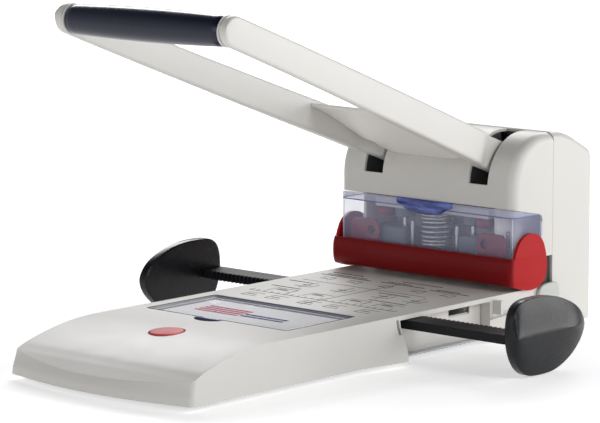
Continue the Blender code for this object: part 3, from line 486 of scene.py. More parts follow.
def make_finishes():
    return {
        "shell": moulded("shell_plastic", (0.63, 0.615, 0.585), 0.42, 0.04, 0.10),
        "handle": moulded("handle_lacquer", (0.66, 0.645, 0.615), 0.38, 0.04, 0.06),
        # Painted light: the bridge is the handle's lacquer coloured lighter, standing in for the light
        # that falls on it.
        "web": moulded("bridge_painted_light", (0.84, 0.82, 0.78), 0.38, 0.04, 0.06),
        "shell_dark": moulded("dark_grey_plastic", (0.10, 0.10, 0.105), 0.5, 0.10, 0.20),
        "slot_black": moulded("slot_liner_plastic", (0.05, 0.055, 0.055), 0.5, 0.15, 0.20),
        "red": red_finish(),
        "button": moulded("button_red_plastic", (0.66, 0.085, 0.08), 0.5, 0.06, 0.10,
                          specular_ior_level=0.25),
        "grip": moulded("grip_gloss", (0.005, 0.009, 0.030), 0.22, 0.25, 0.10, 900,
                        specular_ior_level=0.30, coat_weight=0.22, coat_roughness=0.10),
        "stop_black": moulded("stop_black_plastic", (0.004, 0.005, 0.007), 0.27, 0.20, 0.12, 1200,
                              specular_ior_level=0.30),
        "bar_black": moulded("bar_black_plastic", (0.006, 0.007, 0.009), 0.55, 0.20, 0.15, 1200,
                             specular_ior_level=0.2),
        "rubber": moulded("foot_rubber", (0.02, 0.02, 0.02), 0.78, 0.25, 0.5, 700),
        "nylon": moulded("nylon", (0.74, 0.73, 0.68), 0.5, 0.05, 0.15),
        "clip": moulded("clip_wine_plastic", (0.26, 0.016, 0.035), 0.35, 0.2, 0.10),
        "block": moulded("guide_block_grey", (0.16, 0.20, 0.23), 0.4, 0.15, 0.15),
        "pale": moulded("frame_paint", (0.80, 0.80, 0.82), 0.45, 0.04, 0.1),
        "card": moulded("paper_card", (0.90, 0.90, 0.91), 0.75, 0.03, 0.2, 1800),
        "steel": machined("frame_steel", (0.50, 0.51, 0.53)),
        "spring": machined("spring_steel", (0.72, 0.73, 0.76), 0.22, (60, 60, 900)),
        "print_grey": print_ink("table_print", (0.05, 0.05, 0.06), 0.15),
        "print_red": print_ink("card_print_red", (0.60, 0.09, 0.16)),
        "print_blue": print_ink("card_print_blue", (0.03, 0.05, 0.20)),
        # Painted shade: near-black for the lid's gap and the finger notch's floor.
        "notch_painted_shade": print_ink("lid_gap_painted_shade", (0.045, 0.055, 0.11)),
        "clear": clear_plastic("clear_polycarbonate", (0.62, 0.65, 0.92), 0.15, 0.06),
        # Painted highlight: near-opaque pale plastic for the bright edges of the clear guard.
        "clear_edge": clear_plastic("guard_edge_painted_highlight", (0.80, 0.82, 0.95), 0.75),
        "clear_band": clear_plastic("clear_band_plastic", (0.66, 0.67, 0.86), 0.30, tone=0.04),
        "lid": clear_plastic("lid_polycarbonate", (0.58, 0.60, 0.84), 0.05, 0.07, 0.03, 0.5, 0.05),
        "band_line": moulded("band_line_blue", (0.13, 0.15, 0.38), 0.3, 0.1, 0.05),
        "lid_border": moulded("lid_border_grey", (0.60, 0.61, 0.70), 0.3, 0.05, 0.05),
        "seam_grey": moulded("seam_grey_plastic", (0.40, 0.40, 0.385), 0.5, 0.1, 0.1),
        "hinge_grey": moulded("hinge_grey_plastic", (0.28, 0.30, 0.38), 0.3, 0.1, 0.05),
        # Painted shade: the side lip is coloured a darker, greener grey than the shell for the shade on
        # it.
        "lip_painted_shade": moulded("side_lip_painted_shade", (0.50, 0.52, 0.48), 0.45, 0.04, 0.1),
        "latch": latch_finish(),
    }


LOOKS = {name: look.material for name, look in make_finishes().items()}


# ---------------------------------------------------------------- base cover
NOSE_Z = 19.0
NOSE_RUN = 110.0
NOSE_BULGE = 14.0
RIM = 3.2                   # radius of the base's top edges
FLARE = 3.0                 # how far the front block's walls lean out at the foot
REAR_FLARE = 8.0            # the same at the block's rear step
BASE_CORNER = 6.0           # plan radius of the front corners
BLOCK_END = 272.0           # where the wide front block stops and the plinth begins
RECESS_END = 395.0
RECESS_DEPTH = BASE.x1 - STOP_TRAY.x1
TOP_PLATE = 4.0
NOTCH_X, NOTCH_HALF, NOTCH_REACH = -11.0, 16.0, 14.0
LID_GAP = 0.9
LID_LEDGE = 4.0             # how wide the table carries the lid's rim


def nose_height(y):
    if y >= NOSE_RUN:
        return TABLE
    return NOSE_Z + (TABLE - NOSE_Z) * (1 - (1 - max(y, 0) / NOSE_RUN) ** 2)


def base_volume(inset, drop, back, bottom, corner):
    """The long nose profile cut to the bowed plan, whose corners run smoothly into the bow."""
    profile = [(-2.0, bottom), (-2.0, NOSE_Z - drop)]
    profile += [(y, nose_height(y) - drop) for y in (NOSE_RUN * i / 44 for i in range(45))]
    profile += [(back, TABLE - drop), (back, bottom)]
    body = prism(profile, "X", inset - HALF, HALF - inset)
    half = HALF - inset
    front = [(-half + 2 * half * i / 40, 0) for i in range(41)]
    front = [(x, inset + NOSE_BULGE * (x / HALF) ** 2) for x, _ in front]
    lean = atan(2 * NOSE_BULGE / HALF)
    x = -half + corner * (1 - sin(lean))
    y = inset + NOSE_BULGE * (x / HALF) ** 2
    left = arc(-half + corner, y + corner * cos(lean), corner, 180, 270 - degrees(lean), 7)
    right = [(-u, v) for u, v in reversed(left)]
    inside = [p for p in front if abs(p[0]) < abs(x) - 2]
    plan = [(-half, back + PAST)] + left + inside + right + [(half, back + PAST)]
    return boolean(body, [prism(plan, "Z", bottom - PAST, TABLE + PAST)], "INTERSECT")


def flare(x, y, z):
    """Lean the front block's walls outwards towards the foot, more so at its rear step."""
    low = max(0.0, (TABLE - z) / (TABLE - FLOOR_GAP))
    block = 1 - ease((y - BLOCK_END + 1) / 3)
    lean = FLARE * low ** 1.3 * block
    lean += REAR_FLARE * ease((y - BLOCK_END + 62) / 66) * block * ease((TABLE - 3 - z) / 30)
    side = ease((abs(x) - HALF + 14) / 10) * (1 if x > 0 else -1)
    front = ease((30 - y) / 14)
    brow = 2.6 * ease((z - NOSE_Z + 9) / 14)
    return x + side * lean, y + front * (brow - FLARE * 0.7 * low ** 1.3), z


def lid_slab(side, south, north, z0, z1, radius, steps=5):
    """A rounded block that follows the lid's outline, moved in by so much on each side."""
    return slab(LID.x0 + side, LID.x1 - side, LID.y0 + south, LID.y1 - north, z0, z1, radius, steps)


def notch(edge, half, reach, z0, z1):
    """The half-round finger notch in front of the lid."""
    angles = [pi * i / 24 for i in range(25)]
    return prism([(NOTCH_X + half * cos(a), edge - reach * sin(a)) for a in angles], "Z", z0, z1)


def make_base_cover():
    back = BASE.y1
    body = base_volume(0.0, 0.0, back, FLOOR_GAP, BASE_CORNER)

    def rim(a, b):
        return (min(a[2], b[2]) > NOSE_Z - 1 and max(a[1], b[1]) < back + 1
                and not (a[1] > back - 0.1 and b[1] > back - 0.1))

    bevel(body, RIM, 5, 30, rim)
    sliced(body, "Z", [FLOOR_GAP + (TABLE - RIM - FLOOR_GAP) * i / 6 for i in range(1, 6)]
           + [NOSE_Z - RIM - 1.6 * i for i in range(5)])
    sliced(body, "Y", [BLOCK_END - 64 + 5 * i for i in range(13)] + [BLOCK_END - 1, BLOCK_END + 1.5])
    shift(body, flare)
    under, over = FLOOR_GAP - PAST, TABLE + PAST
    cuts = [box(WALL - HALF, HALF - WALL, NOSE_RUN, back + 10, under, TABLE - TOP_PLATE),
            base_volume(WALL + 0.5, TOP_PLATE, NOSE_RUN + PAST, under, 4.5)]
    for side, _ in SIDES:
        cuts.append(box(*mirrored(side, HALF - RECESS_DEPTH, HALF + 9), BLOCK_END, RECESS_END, under,
                        TABLE - TOP_PLATE))
    cuts += [lid_slab(-LID_GAP, -LID_GAP, -2.5, LID.z0 - GAP, over, 3.2),
             box(LID.x0 + LID_LEDGE, LID.x1 - LID_LEDGE, LID.y0 + LID_LEDGE, LID.y1 - LID_LEDGE,
                 TABLE - 9, TABLE),
             notch(LID.y0 + 0.5, NOTCH_HALF, NOTCH_REACH, LID.z0 - GAP, over),
             disc("Z", 0, BUTTON.y, BUTTON.x1 + 0.7, TABLE - 13, over, 64)]
    for side, _ in SIDES:
        cuts.append(disc("Z", side * DIE_X, PUNCH_LINE, DIE_RADIUS + GAP, TABLE - 9, over))
        for y in (BLOCK_END - 5.5, RECESS_END + 4.5):
            cuts.append(box(*mirrored(side, HALF - 2.2, HALF + 9), y, y + 3.2, TABLE - 15.5, TABLE - RIM))
    return boolean(body, cuts)


def make_recess_wall(side):
    """Inset side wall with slots for both stop bars, and the ends of the blocks beside it."""
    inner = HALF - RECESS_DEPTH + GAP
    low, high = mirrored(side, inner, inner + 1.2)
    z0, z1 = FLOOR_GAP + 0.5, TABLE - TOP_PLATE - GAP
    wall = box(low, high, BLOCK_END + 0.4, RECESS_END - 0.4, z0, z1)
    cuts = [box(low - PAST, high + PAST, bar.y0 - 1.2, bar.y1 + 1.2, bar.z0 - 1.2, bar.z1 + 1.2)
            for bar in (Span("right_stop_bar"), Span("left_stop_bar"))]
    cuts.append(box(*mirrored(side, inner + 0.9, HALF + PAST), BLOCK_END - PAST, RECESS_END + PAST,
                    FLOOR_GAP + 5.0, FLOOR_GAP + 5.8))
    ends = [box(*mirrored(side, inner, HALF - WALL - 0.1), y, y + 1.2, z0, z1)
            for y in (BLOCK_END - 1.3, RECESS_END + 0.1)]
    return join(boolean(wall, cuts), *ends)


def build_base():
    for side, name in SIDES:
        piece(f"recess_wall_{name}", make_recess_wall(side), "shell", "base")
    piece("base_shell", make_base_cover(), "shell", "base", ["base_cover"])


# ---------------------------------------------------------------- floor, light and camera
CAMERA_PLACE = (1.79059, -2.02127, 0.52459)
CAMERA_TILT = 8.464
CAMERA_TURN = 41.744
CAMERA_LENS = 188.67
FLOOR_GLOW = 0.46
SKY = ((0.10, 0.70), (0.75, 0.06))      # height in the sky and how bright it is there
LAMPS = (
    ("key", (2.4, 0.15, 1.25), (0, 0, 0.08), 19.5, 0.9),
    ("rim", (1.65, 1.85, 0.62), (0, 0, 0.1), 17, 1.1),
    ("front_fill", (-0.4, -2.8, 0.9), (0, 0.1, 0.1), 6, 1.4),
    ("backdrop", (-4.0, 4.6, 3.6), (-4.4, 5.1, 0), 700, 5.0),
)


def studio():
    scene = bpy.context.scene
    camera = bpy.data.cameras.new("camera")
    camera.lens = CAMERA_LENS
    camera.sensor_width = 36
    camera.clip_end = 100
    scene.camera = stand("camera", camera)
    scene.camera.location = CAMERA_PLACE
    scene.camera.rotation_euler = (radians(90 - CAMERA_TILT), 0, radians(CAMERA_TURN))

    bm = bmesh.new()
    bmesh.ops.create_grid(bm, x_segments=1, y_segments=1, size=14)
    mesh = mesh_from(bm, "floor")
    paper = Look("studio_paper", roughness=0.9)
    paper.set("Emission Color", (1.0, 1.0, 1.0))
    paper.set("Emission Strength", FLOOR_GLOW)
    paper.set("Base Color", paper.blend(paper.noise(1.5), (0.90, 0.90, 0.90), (0.92, 0.92, 0.92)))
    mesh.materials.append(paper.material)
    floor = stand("floor", mesh)

    world = bpy.data.worlds.new("studio")
    world.use_nodes = True
    nodes, links = world.node_tree.nodes, world.node_tree.links
    height = nodes.new("ShaderNodeSeparateXYZ")
    links.new(nodes.new("ShaderNodeTexCoord").outputs["Generated"], height.inputs[0])
    ramp = nodes.new("ShaderNodeValToRGB")
    for element, (position, grey) in zip(ramp.color_ramp.elements, SKY):
        element.position = position
        element.color = (grey, grey, grey * 1.01, 1.0)
    links.new(height.outputs["Z"], ramp.inputs[0])
    links.new(ramp.outputs[0], nodes["Background"].inputs[0])
    scene.world = world
    scene.view_settings.view_transform = "Standard"
    for settings in LAMPS:
        lamp(*settings)


def lamp(name, where, target, power, size):
    light = bpy.data.lights.new(name, "AREA")
    light.energy = power
    light.size = size
    obj = stand(name, light)
    obj.location = where
    obj.rotation_euler = (Vector(target) - Vector(where)).to_track_quat("-Z", "Y").to_euler()


FINISH_NODES = {
    "pale": ("frame_cheek_left", "frame_cheek_right", "punch_yoke"),
    "steel": ("lower_bridge", "spring_post", "die_plate", "pivot_shaft", "rear_tie_bar", "drive_rack",
              "drive_sector", "grip_rod", "base_plate"),
    "spring": ("punch_pin_left", "punch_pin_right"),
    "block": ("punch_holder_left", "punch_holder_right"),
    "nylon": ("cutting_disc_left", "cutting_disc_right", "bar_rail_front", "bar_rail_rear",
              "pinion_post", "stop_pinion", "button_socket"),
    "rubber": ("foot_1", "foot_2", "foot_3", "foot_4"),
    "shell": ("stop_tray", "chip_tray"),
    "shell_dark": ("back_stop", "guard_stud_left", "guard_stud_right", "depot_tray"),
    "bar_black": ("right_stop_bar", "left_stop_bar"),
    "card": ("label_card",),
}


def dress_nodes():
    """A procedural finish for every CAD node that keeps its own shape."""
    for finish, nodes in FINISH_NODES.items():
        for node in nodes:
            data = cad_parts[node].data
            data.materials.clear()
            data.materials.append(LOOKS[finish])


# ---------------------------------------------------------------- head
SIDE_FILLET = 9.0
SLOT_X, SLOT_HALF = 61.0, 11.0
SLOT_FLOOR = PIVOT_Z + 3
SKIRT = GUARD.y1 + 0.5
GAP_TOP = 70.0              # top of the paper throat
GUARD_SIDE_TOP = 109.0      # where the clear guard's side walls end below the cover
CREST = 12.0                # radius over the rear cover's back edge
CREST_Z = 152.0
WORKS_HALF, WORKS_TOP = 71, 112
PANEL = (-62, 62, 52, 128)  # recessed panel in the rear cover's back
VENTS, VENT_HALF, VENT_LOW, VENT_PITCH, VENT_TALL = 9, 40, 60, 7.5, 2.6


def along_side(a, b):
    """Whether an edge lies in one of the head's two side faces."""
    return abs(a[0] - b[0]) < 0.01 and abs(a[0]) > HALF - 0.1


def make_head_front():
    front, back = HEAD.y0, HEAD.y1
    top = arc(PIVOT_Y, PIVOT_Z, HEAD_RADIUS, 180, 90, 36)
    outline = top + [(back, HEAD.z1 - 0.4), (back, GAP_TOP), (SKIRT, GAP_TOP),
                     (SKIRT, GUARD_SIDE_TOP - 5), (SKIRT - 1.5, GUARD_SIDE_TOP - 1.5),
                     (SKIRT - 5, GUARD_SIDE_TOP), (front, HEAD_BOTTOM)]
    shell = prism(outline, "X", -HALF, HALF)

    bevel(shell, SIDE_FILLET, 9, 35, lambda a, b: along_side(a, b)
          and min(a[2], b[2]) > HEAD_BOTTOM - 0.5 and min(a[1], b[1]) < back - 0.1
          and abs(a[1] - b[1]) + abs(a[2] - b[2]) > 0.5)
    inner = arc(PIVOT_Y, PIVOT_Z, HEAD_RADIUS - WALL, 180, 90, 24)
    hollow = prism(inner + [(back + PAST, HEAD.z1 - WALL), (back + PAST, GAP_TOP - 30),
                            (front + WALL, GAP_TOP - 30)], "X", WALL - HALF, HALF - WALL)
    bevel(hollow, SIDE_FILLET - WALL, 4, 35, lambda a, b: abs(a[0] - b[0]) < 0.01
          and min(a[2], b[2]) > HEAD_BOTTOM and min(a[1], b[1]) < back)
    slot = round_rect(front - 10, back - 1.7, SLOT_FLOOR, HEAD.z1 + 20, 1.2, 3)
    slots = [prism(slot, "X", *mirrored(side, SLOT_X - SLOT_HALF, SLOT_X + SLOT_HALF))
             for side, _ in SIDES]
    return boolean(shell, [hollow, *slots])


def slot_liner(side):
    """Dark walls inside an arm slot, above the yoke and clear of the shaft and hub."""
    inner = arc(PIVOT_Y, PIVOT_Z, HEAD_RADIUS - WALL - 0.2, 178, 92, 20)
    outline = inner + [(HEAD.y1 - 2, PIVOT_Z + 16), (PIVOT_Y - 13, PIVOT_Z + 16),
                       (PIVOT_Y - 20, PIVOT_Z - 1)]
    plates = [prism(outline, "X", *mirrored(side, x, x + 1.2))
              for x in (SLOT_X - SLOT_HALF - 1.3, SLOT_X + SLOT_HALF + 0.1)]
    plates.append(box(*mirrored(side, SLOT_X - SLOT_HALF, SLOT_X + SLOT_HALF),
                      HEAD.y1 - 1.5, HEAD.y1 - 0.5, PIVOT_Z + 20, HEAD.z1 - WALL))
    return join(*plates)


def rear_profile(inset):
    top = REAR.z1 - inset
    front, back = REAR.y0, REAR.y1 - inset
    radius = CREST - inset
    crown = smooth_open([(front, top), (front + 14, top - 1.2), (front + 28, top - 5.5),
                         (front + 40, top - 11.5)], 6)
    return crown + arc(back - radius, CREST_Z, radius, 50, 0, 8)


def make_head_rear():
    shell = prism(rear_profile(0.0) + [(REAR.y1, REAR.z0), (REAR.y0, REAR.z0)], "X", -HALF, HALF)

    bevel(shell, SIDE_FILLET, 9, 35, lambda a, b: along_side(a, b)
          and max(a[1], b[1]) > REAR.y0 + 0.5 and max(a[2], b[2]) > REAR.z0 + 1)
    low = REAR.z0 - 10
    inside = [(REAR.y0 - PAST, REAR.z1 - WALL), *rear_profile(WALL), (REAR.y1 - WALL, low),
              (REAR.y0 - PAST, low)]
    door = round_rect(TRAY.x0 - GAP, TRAY.x1 + GAP, TRAY.z0 - GAP, TRAY.z1 + GAP, 1.5, 3)
    outside = REAR.y1 + PAST
    cuts = [prism(inside, "X", 4.0 - HALF, HALF - 4.0),
            prism(door, "Y", REAR.y1 - 20, REAR.y1 + 10),
            prism(round_rect(*PANEL, 5, 5), "Y", REAR.y1 - 0.8, outside)]
    for k in range(VENTS):
        low = VENT_LOW + VENT_PITCH * k
        vent = round_rect(-VENT_HALF, VENT_HALF, low, low + VENT_TALL, 1.2, 3)
        cuts.append(prism(vent, "Y", REAR.y1 - 2.0, outside))
    return boolean(shell, cuts)


def seam_strip():
    """Dark parting line just inside the two head covers."""
    outer = [(HALF - 1.2, 46), (HALF - 1.2, HEAD.z1 - SIDE_FILLET)]
    outer += arc(HALF - SIDE_FILLET, HEAD.z1 - SIDE_FILLET, SIDE_FILLET - 1.2, 0, 90, 8)
    line = outer + [(-x, z) for x, z in reversed(outer)]
    inner = [(x * (HALF - 4) / HALF, z - 3 if z > 60 else z) for x, z in line]
    y = HEAD.y1 - 0.6
    return loft([[(x, y + d, z) for x, z in line + inner[::-1]] for d in (0, 1.6)])


def make_inner_wall():
    """Pale moulded wall behind the punch works."""
    return box(-WORKS_HALF, WORKS_HALF, GUARD.y1 + 3.5, GUARD.y1 + 5, GUARD.z0 + 4, WORKS_TOP)


def make_throat_liner(side):
    """Dark wall just inside the cover, beside the paper throat."""
    return box(*mirrored(side, HALF - 5, HALF - 3.4), SKIRT, REAR.y0 + 12, TABLE + 0.4, GAP_TOP + 6)


def make_side_lip(side):
    """Raised rounded shoulder on the side wall, between the red guard's ear and the rear cover."""
    outline = smooth_closed([(461, 14), (460.5, 30), (461.5, 39), (465, 44), (475, 46), (485, 45.5),
                             (490, 42), (492, 30), (492, 14)], 5)
    return bevel(prism(outline, "X", *mirrored(side, HALF + 0.15, HALF + 4.2)), 1.6, 4, 50)


def build_head():
    piece("head_front_shell", make_head_front(), "shell", "base", ["head_front_cover"])
    piece("head_rear_shell", make_head_rear(), "shell", "base", ["head_rear_cover"])
    for side, name in SIDES:
        piece(f"slot_liner_{name}", slot_liner(side), "slot_black", "base")
        piece(f"throat_liner_{name}", make_throat_liner(side), "slot_black", "base")
        piece(f"side_lip_{name}", make_side_lip(side), "lip_painted_shade", "base")
    piece("works_back_wall", make_inner_wall(), "pale", "base")
    piece("head_seam", seam_strip(), "seam_grey", "base")


# ---------------------------------------------------------------- clear guard and its catch
GUARD_CORNER = 6.0
BAND_LOW = GUARD_SIDE_TOP + 0.2


def guard_wall(inset):
    half = GUARD.x1 - inset
    front = GUARD.y0 + inset
    radius = GUARD_CORNER - inset
    left = arc(-half + radius, front + radius, radius, 180, 270, 10)
    right = arc(half - radius, front + radius, radius, 270, 360, 10)
    return [(-half, GUARD.y1)] + left + right + [(half, GUARD.y1)]


def guard_strip(z0, z1, proud, thick):
    """A strip that follows the outside of the clear guard between two heights."""
    return prism(guard_wall(-proud) + guard_wall(thick - proud)[::-1], "Z", z0, z1)


def make_clear_guard():
    shell = guard_strip(GUARD.z0, HEAD_BOTTOM, 0.0, 2.0)
    corner = arc(GUARD.y1 - 6, GUARD_SIDE_TOP - GAP - 6, 6, 90, 0, 6)
    back, top = GUARD.y1 + PAST, HEAD_BOTTOM + PAST
    wedge = [(GUARD.y0 - 2, HEAD_BOTTOM - GAP), *corner, (back, GUARD_SIDE_TOP - 8), (back, top),
             (GUARD.y0 - 2, top)]
    return boolean(shell, [prism(wedge, "X", -HALF - PAST, HALF + PAST)])


def make_guard_edges():
    """Painted highlights on the clear guard's edges: near-opaque pale strips at the rear uprights and thin
    rods along the moulded corner lines.
    """
    parts = []
    for side, _ in SIDES:
        parts.append(box(*mirrored(side, GUARD.x1 - 2.1, GUARD.x1 + 0.1), GUARD.y1 - 1.0, GUARD.y1 + 0.1,
                         GUARD.z0 + 1, GUARD_SIDE_TOP - 7))
        parts.append(disc("Z", side * (GUARD.x1 - 2.6), GUARD.y0 + 2.6, 0.5, GUARD.z0 + 1,
                          HEAD_BOTTOM - 9, 10))
    return join(*parts)


def make_top_band():
    """Thicker band along the guard's top, down to the line where the side walls end."""
    top = HEAD_BOTTOM - GAP
    front, back = GUARD.y0 - 3, GUARD.y1 + PAST
    over = HEAD_BOTTOM + 9
    wedge = [(front, top), (back, GUARD_SIDE_TOP - 1.0), (back, over), (front, over)]
    return boolean(guard_strip(BAND_LOW, top, 0.35, 1.4), [prism(wedge, "X", -HALF - 9, HALF + 9)])


def latch_outline(scale):
    """A wide tab whose lower part narrows to a shallow lens."""
    half, low, high = LATCH.x1 * scale, LATCH.z0 + 1 - scale, LATCH.z1
    lens = [(0.76 * half * cos(a), low + 5.5 + 5.5 * sin(a)) for a in
            (pi + pi * i / 28 for i in range(29))]
    shoulder = [(half, low + 7.6), (half, high)]
    return [(-x, z) for x, z in reversed(shoulder)] + lens + shoulder


def make_latch():
    body = bevel(prism(latch_outline(1.0), "Y", LATCH.y0 + 0.3, LATCH.y1), 0.5, 3, 50)
    rib = prism([(x, min(z, LATCH.z0 + 7.4)) for x, z in latch_outline(0.92)[1:-1]], "Y", LATCH.y0 - 0.35,
                LATCH.y0 + 0.6)
    return join(body, rib)


def build_guard():
    piece("clear_guard_wall", make_clear_guard(), "clear", "base", ["clear_guard"])
    piece("guard_top_band", make_top_band(), "clear_band", "base")
    line = boolean(guard_strip(BAND_LOW - 0.9, BAND_LOW, 0.15, 1.2),
                   [box(-HALF - 9, HALF + 9, GUARD.y1 - 6, GUARD.y1 + 9, 90, 130)])
    piece("guard_band_line", line, "band_line", "base")
    piece("guard_edges", make_guard_edges(), "clear_edge", "base")
    piece("latch", make_latch(), "latch", "latch", ["latch_tab"])


# ---------------------------------------------------------------- red finger guard
BAR_LOW, BAR_MIDDLE, BAR_HIGH = 49.0, 61.0, 73.0
BAR_DEEP = 5.5


def make_finger_guard():
    """A rail across the front with a rounded ear at each end."""
    y0 = BAR.y0
    front = [(y0, BAR_LOW), (y0, BAR_MIDDLE), (y0, BAR_HIGH)]
    ear = front + smooth_open([
        (y0 + 7, 73.2), (y0 + 9, 79), (431.5, 85.5), (436.5, 90.3), (444, 93.3), (453, 93.2),
        (461, 90.2), (466.5, 84.5), (470, 76), (472, 67), (472, 59), (470, 52), (465.5, 47.2),
        (458, 44), (450, 42.8), (440, 43.6), (430, 46.2)], 4)
    solid = prism(ear, "X", BAR.x0, BAR.x1)

    def front_corner(a, b):
        return abs(a[0] - b[0]) < 0.01 and max(abs(a[1] - y0), abs(b[1] - y0)) < 0.01

    bevel(solid, 4.5, 6, 35, front_corner)
    inner = HALF + 0.8
    solid = boolean(solid, [box(-inner, inner, y0 + BAR_DEEP, 500, 30, 110),
                            box(-inner, inner, y0 - PAST, 500, BAR_HIGH, 110)])
    sliced(solid, "Z", [49.5, 50.5, 52, 54, 57, 61, 65, 68, 70, 71.5, 72.5])

    def crown(x, y, z):
        from_middle = min(1.0, abs(z - BAR_MIDDLE) / (BAR_HIGH - BAR_MIDDLE))
        return x, y + 2.6 * from_middle ** 3 * ease((y0 + 7 - y) / 5), z

    shift(solid, crown)
    return bevel(solid, 0.5, 2, 55)


# ---------------------------------------------------------------- handle
ARM_PITCH = 20.3
ARM_OFFSET = 15.7
ARM_REACH = 434.0
ARM_HEIGHT = (26.0, 29.0)
ARM_THICK = (8.5, 15.0)
ARM_CENTRE = (93.7, 68.5)
ARM_NECK = (52.0, 74.0)
ARM_ROUND = 3.2
HUB_RADIUS = 17.0
SHAFT_BORE = 5.35
ROD_BORE = 5.3
COLLAR_RADIUS = (COLLAR.z1 - COLLAR.z0) / 2 + 1.0
GRIP_CROWN = (GRIP.z1 - COLLAR.z1) + 0.4


def arm_point(along, lift, x):
    """Along the arms from the pivot, and lifted square to them."""
    pitch = radians(ARM_PITCH)
    return (x, PIVOT_Y - along * cos(pitch) + lift * sin(pitch),
            PIVOT_Z + along * sin(pitch) + lift * cos(pitch))


def arm_line(along):
    """Centre and thickness of an arm at a distance from the pivot."""
    grip_t, root_t = ARM_THICK
    if along < ARM_NECK[1]:
        t = ease((along - ARM_NECK[0]) / (ARM_NECK[1] - ARM_NECK[0]))
        return SLOT_X + (ARM_CENTRE[1] - SLOT_X) * t, root_t + 1.2 * sin(pi * t)
    t = min(1.0, (along - ARM_NECK[1]) / (ARM_REACH - ARM_NECK[1]))
    centre = ARM_CENTRE[1] + (ARM_CENTRE[0] - ARM_CENTRE[1]) * (1 - (1 - t) ** 1.6)
    return centre, root_t + (grip_t - root_t) * min(1, 1.6 * t)


def arm_section(side, along, centre, thick, height):
    radius = min(ARM_ROUND, thick * 0.36, height * 0.3)
    return [arm_point(along, ARM_OFFSET + v, side * (centre + u))
            for u, v in round_rect(-thick / 2, thick / 2, -height / 2, height / 2, radius, 5)]


def make_arm(side):
    grip_h, root_h = ARM_HEIGHT
    stations = [0.0, 20.0, 40.0] + [ARM_NECK[0] + 2 * i for i in range(12)]
    stations += [ARM_NECK[1] + (ARM_REACH - ARM_NECK[1]) * i / 40 for i in range(1, 41)]
    sections = []
    for along in stations:
        centre, thick = arm_line(along)
        height = root_h + (grip_h - root_h) * max(0.0, (along - ARM_NECK[1]) / (ARM_REACH - ARM_NECK[1]))
        sections.append(arm_section(side, along, centre, thick, height))
    grip_x, grip_t = ARM_CENTRE[0], ARM_THICK[0]
    for i in range(1, 11):
        angle = radians(88 * i / 10)
        sections.append(arm_section(side, ARM_REACH + grip_h / 2 * sin(angle), grip_x, grip_t,
                                    grip_h * cos(angle)))
    body = loft(sections)
    x0, x1 = mirrored(side, SLOT_X - ARM_THICK[1] / 2, SLOT_X + ARM_THICK[1] / 2)
    body = boolean(body, [disc("X", PIVOT_Y, PIVOT_Z, HUB_RADIUS, x0, x1, 48)], "UNION")
    socket = disc("X", GRIP.y, GRIP.z, ROD_BORE, *mirrored(side, grip_x - 6, grip_x + 0.8), 24)
    return boolean(body, [disc("X", PIVOT_Y, PIVOT_Z, SHAFT_BORE, x0 - PAST, x1 + PAST, 32), socket])


WEB_FRONT = 142.0
WEB_BACK = 54.0
WEB_EDGE_LIFT = ARM_OFFSET + 9.5
WEB_T = 3.2
WEB_KEEL = 11.0             # how far its root hangs below the arms' middle
WEB_DISH = 4.5


def make_web():
    """Bridge between the arms: thin at its straight front edge, as deep as the arms at the head."""
    across, lengths = 28, 18
    depth = WEB_EDGE_LIFT - WEB_T - ARM_OFFSET + WEB_KEEL
    sections = []
    for i in range(lengths + 1):
        t = i / lengths
        along = WEB_BACK + (WEB_FRONT - WEB_BACK) * t
        centre, thick = arm_line(along)
        half = centre - thick / 2 - GAP - 0.2 if along > ARM_NECK[1] else SLOT_X - ARM_THICK[1] / 2 - GAP
        upper, lower = [], []
        for k in range(across + 1):
            u = -1 + 2 * k / across
            curl = abs(u) ** 5
            dish = WEB_DISH * sin(pi * t) * (1 - curl)
            keel = depth * (1 - ease(t)) * (1 - 0.35 * curl)
            upper.append(arm_point(along, WEB_EDGE_LIFT - dish, half * u))
            lower.append(arm_point(along, WEB_EDGE_LIFT - WEB_T - keel, half * u))
        sections.append(upper + lower[::-1])
    return bevel(loft(sections), 0.8, 3, 50)


def make_grip():
    """Crowned sleeve with softly rounded ends."""
    end = GRIP.x1
    profile = [(ROD_BORE, -end)]
    for i in range(49):
        x = -end + 2 * end * i / 48
        edge = min(1.0, (end - abs(x)) / 2.2)
        rounded = 1.1 * (1 - sqrt(1 - (1 - edge) ** 2))
        profile.append((COLLAR_RADIUS + GRIP_CROWN * (1 - (x / end) ** 2) - rounded, x))
    return turned(profile + [(ROD_BORE, end), (ROD_BORE, -end)], "X", GRIP.y, GRIP.z, 56)


def make_collar(side):
    low, high = mirrored(side, COLLAR.x0, COLLAR.x1)
    r = COLLAR_RADIUS + 0.5
    return turned([(ROD_BORE, low), (r - 0.6, low), (r, low + 0.6), (r, high - 0.6), (r - 0.6, high),
                   (ROD_BORE, high), (ROD_BORE, low)], "X", GRIP.y, GRIP.z, 56)


def build_handle():
    for side, name in SIDES:
        piece(f"arm_{name}", make_arm(side), "handle", "handle", [f"handle_arm_{name}"])
        piece(f"collar_{name}", make_collar(side), "handle", "handle", [f"grip_collar_{name}"])
    piece("arm_bridge", make_web(), "web", "handle", ["handle_web"])
    piece("grip", make_grip(), "grip", "handle", ["grip_sleeve"])


# ---------------------------------------------------------------- side stops
RIDGE_Z = 37.0
PINION_Y = Span("stop_pinion").y
PADDLE_OUTLINE = [(-50, -4), (-48.5, 18), (-38, 28.5), (-14, 30.5), (9, 28), (30, 21), (43, 13), (50, 3),
                  (49.5, -6), (43, -16), (30, -26.5), (11, -34.5), (-10, -36.3), (-30, -34), (-43, -23)]


PADDLE_SWELL = (            # distance out, width, height and how far the tip draws in
    (0, 0.965, 0.955, 0), (0.9, 0.995, 0.99, 0), (1.8, 1, 1, 0), (8.2, 1, 1, 0),
    (8.9, 0.995, 0.985, 0.01), (10.2, 0.985, 0.80, 0.05), (11.6, 0.98, 0.55, 0.12),
    (13.0, 0.975, 0.28, 0.21), (14.1, 0.97, 0.08, 0.30), (14.5, 0.965, 0.02, 0.34))


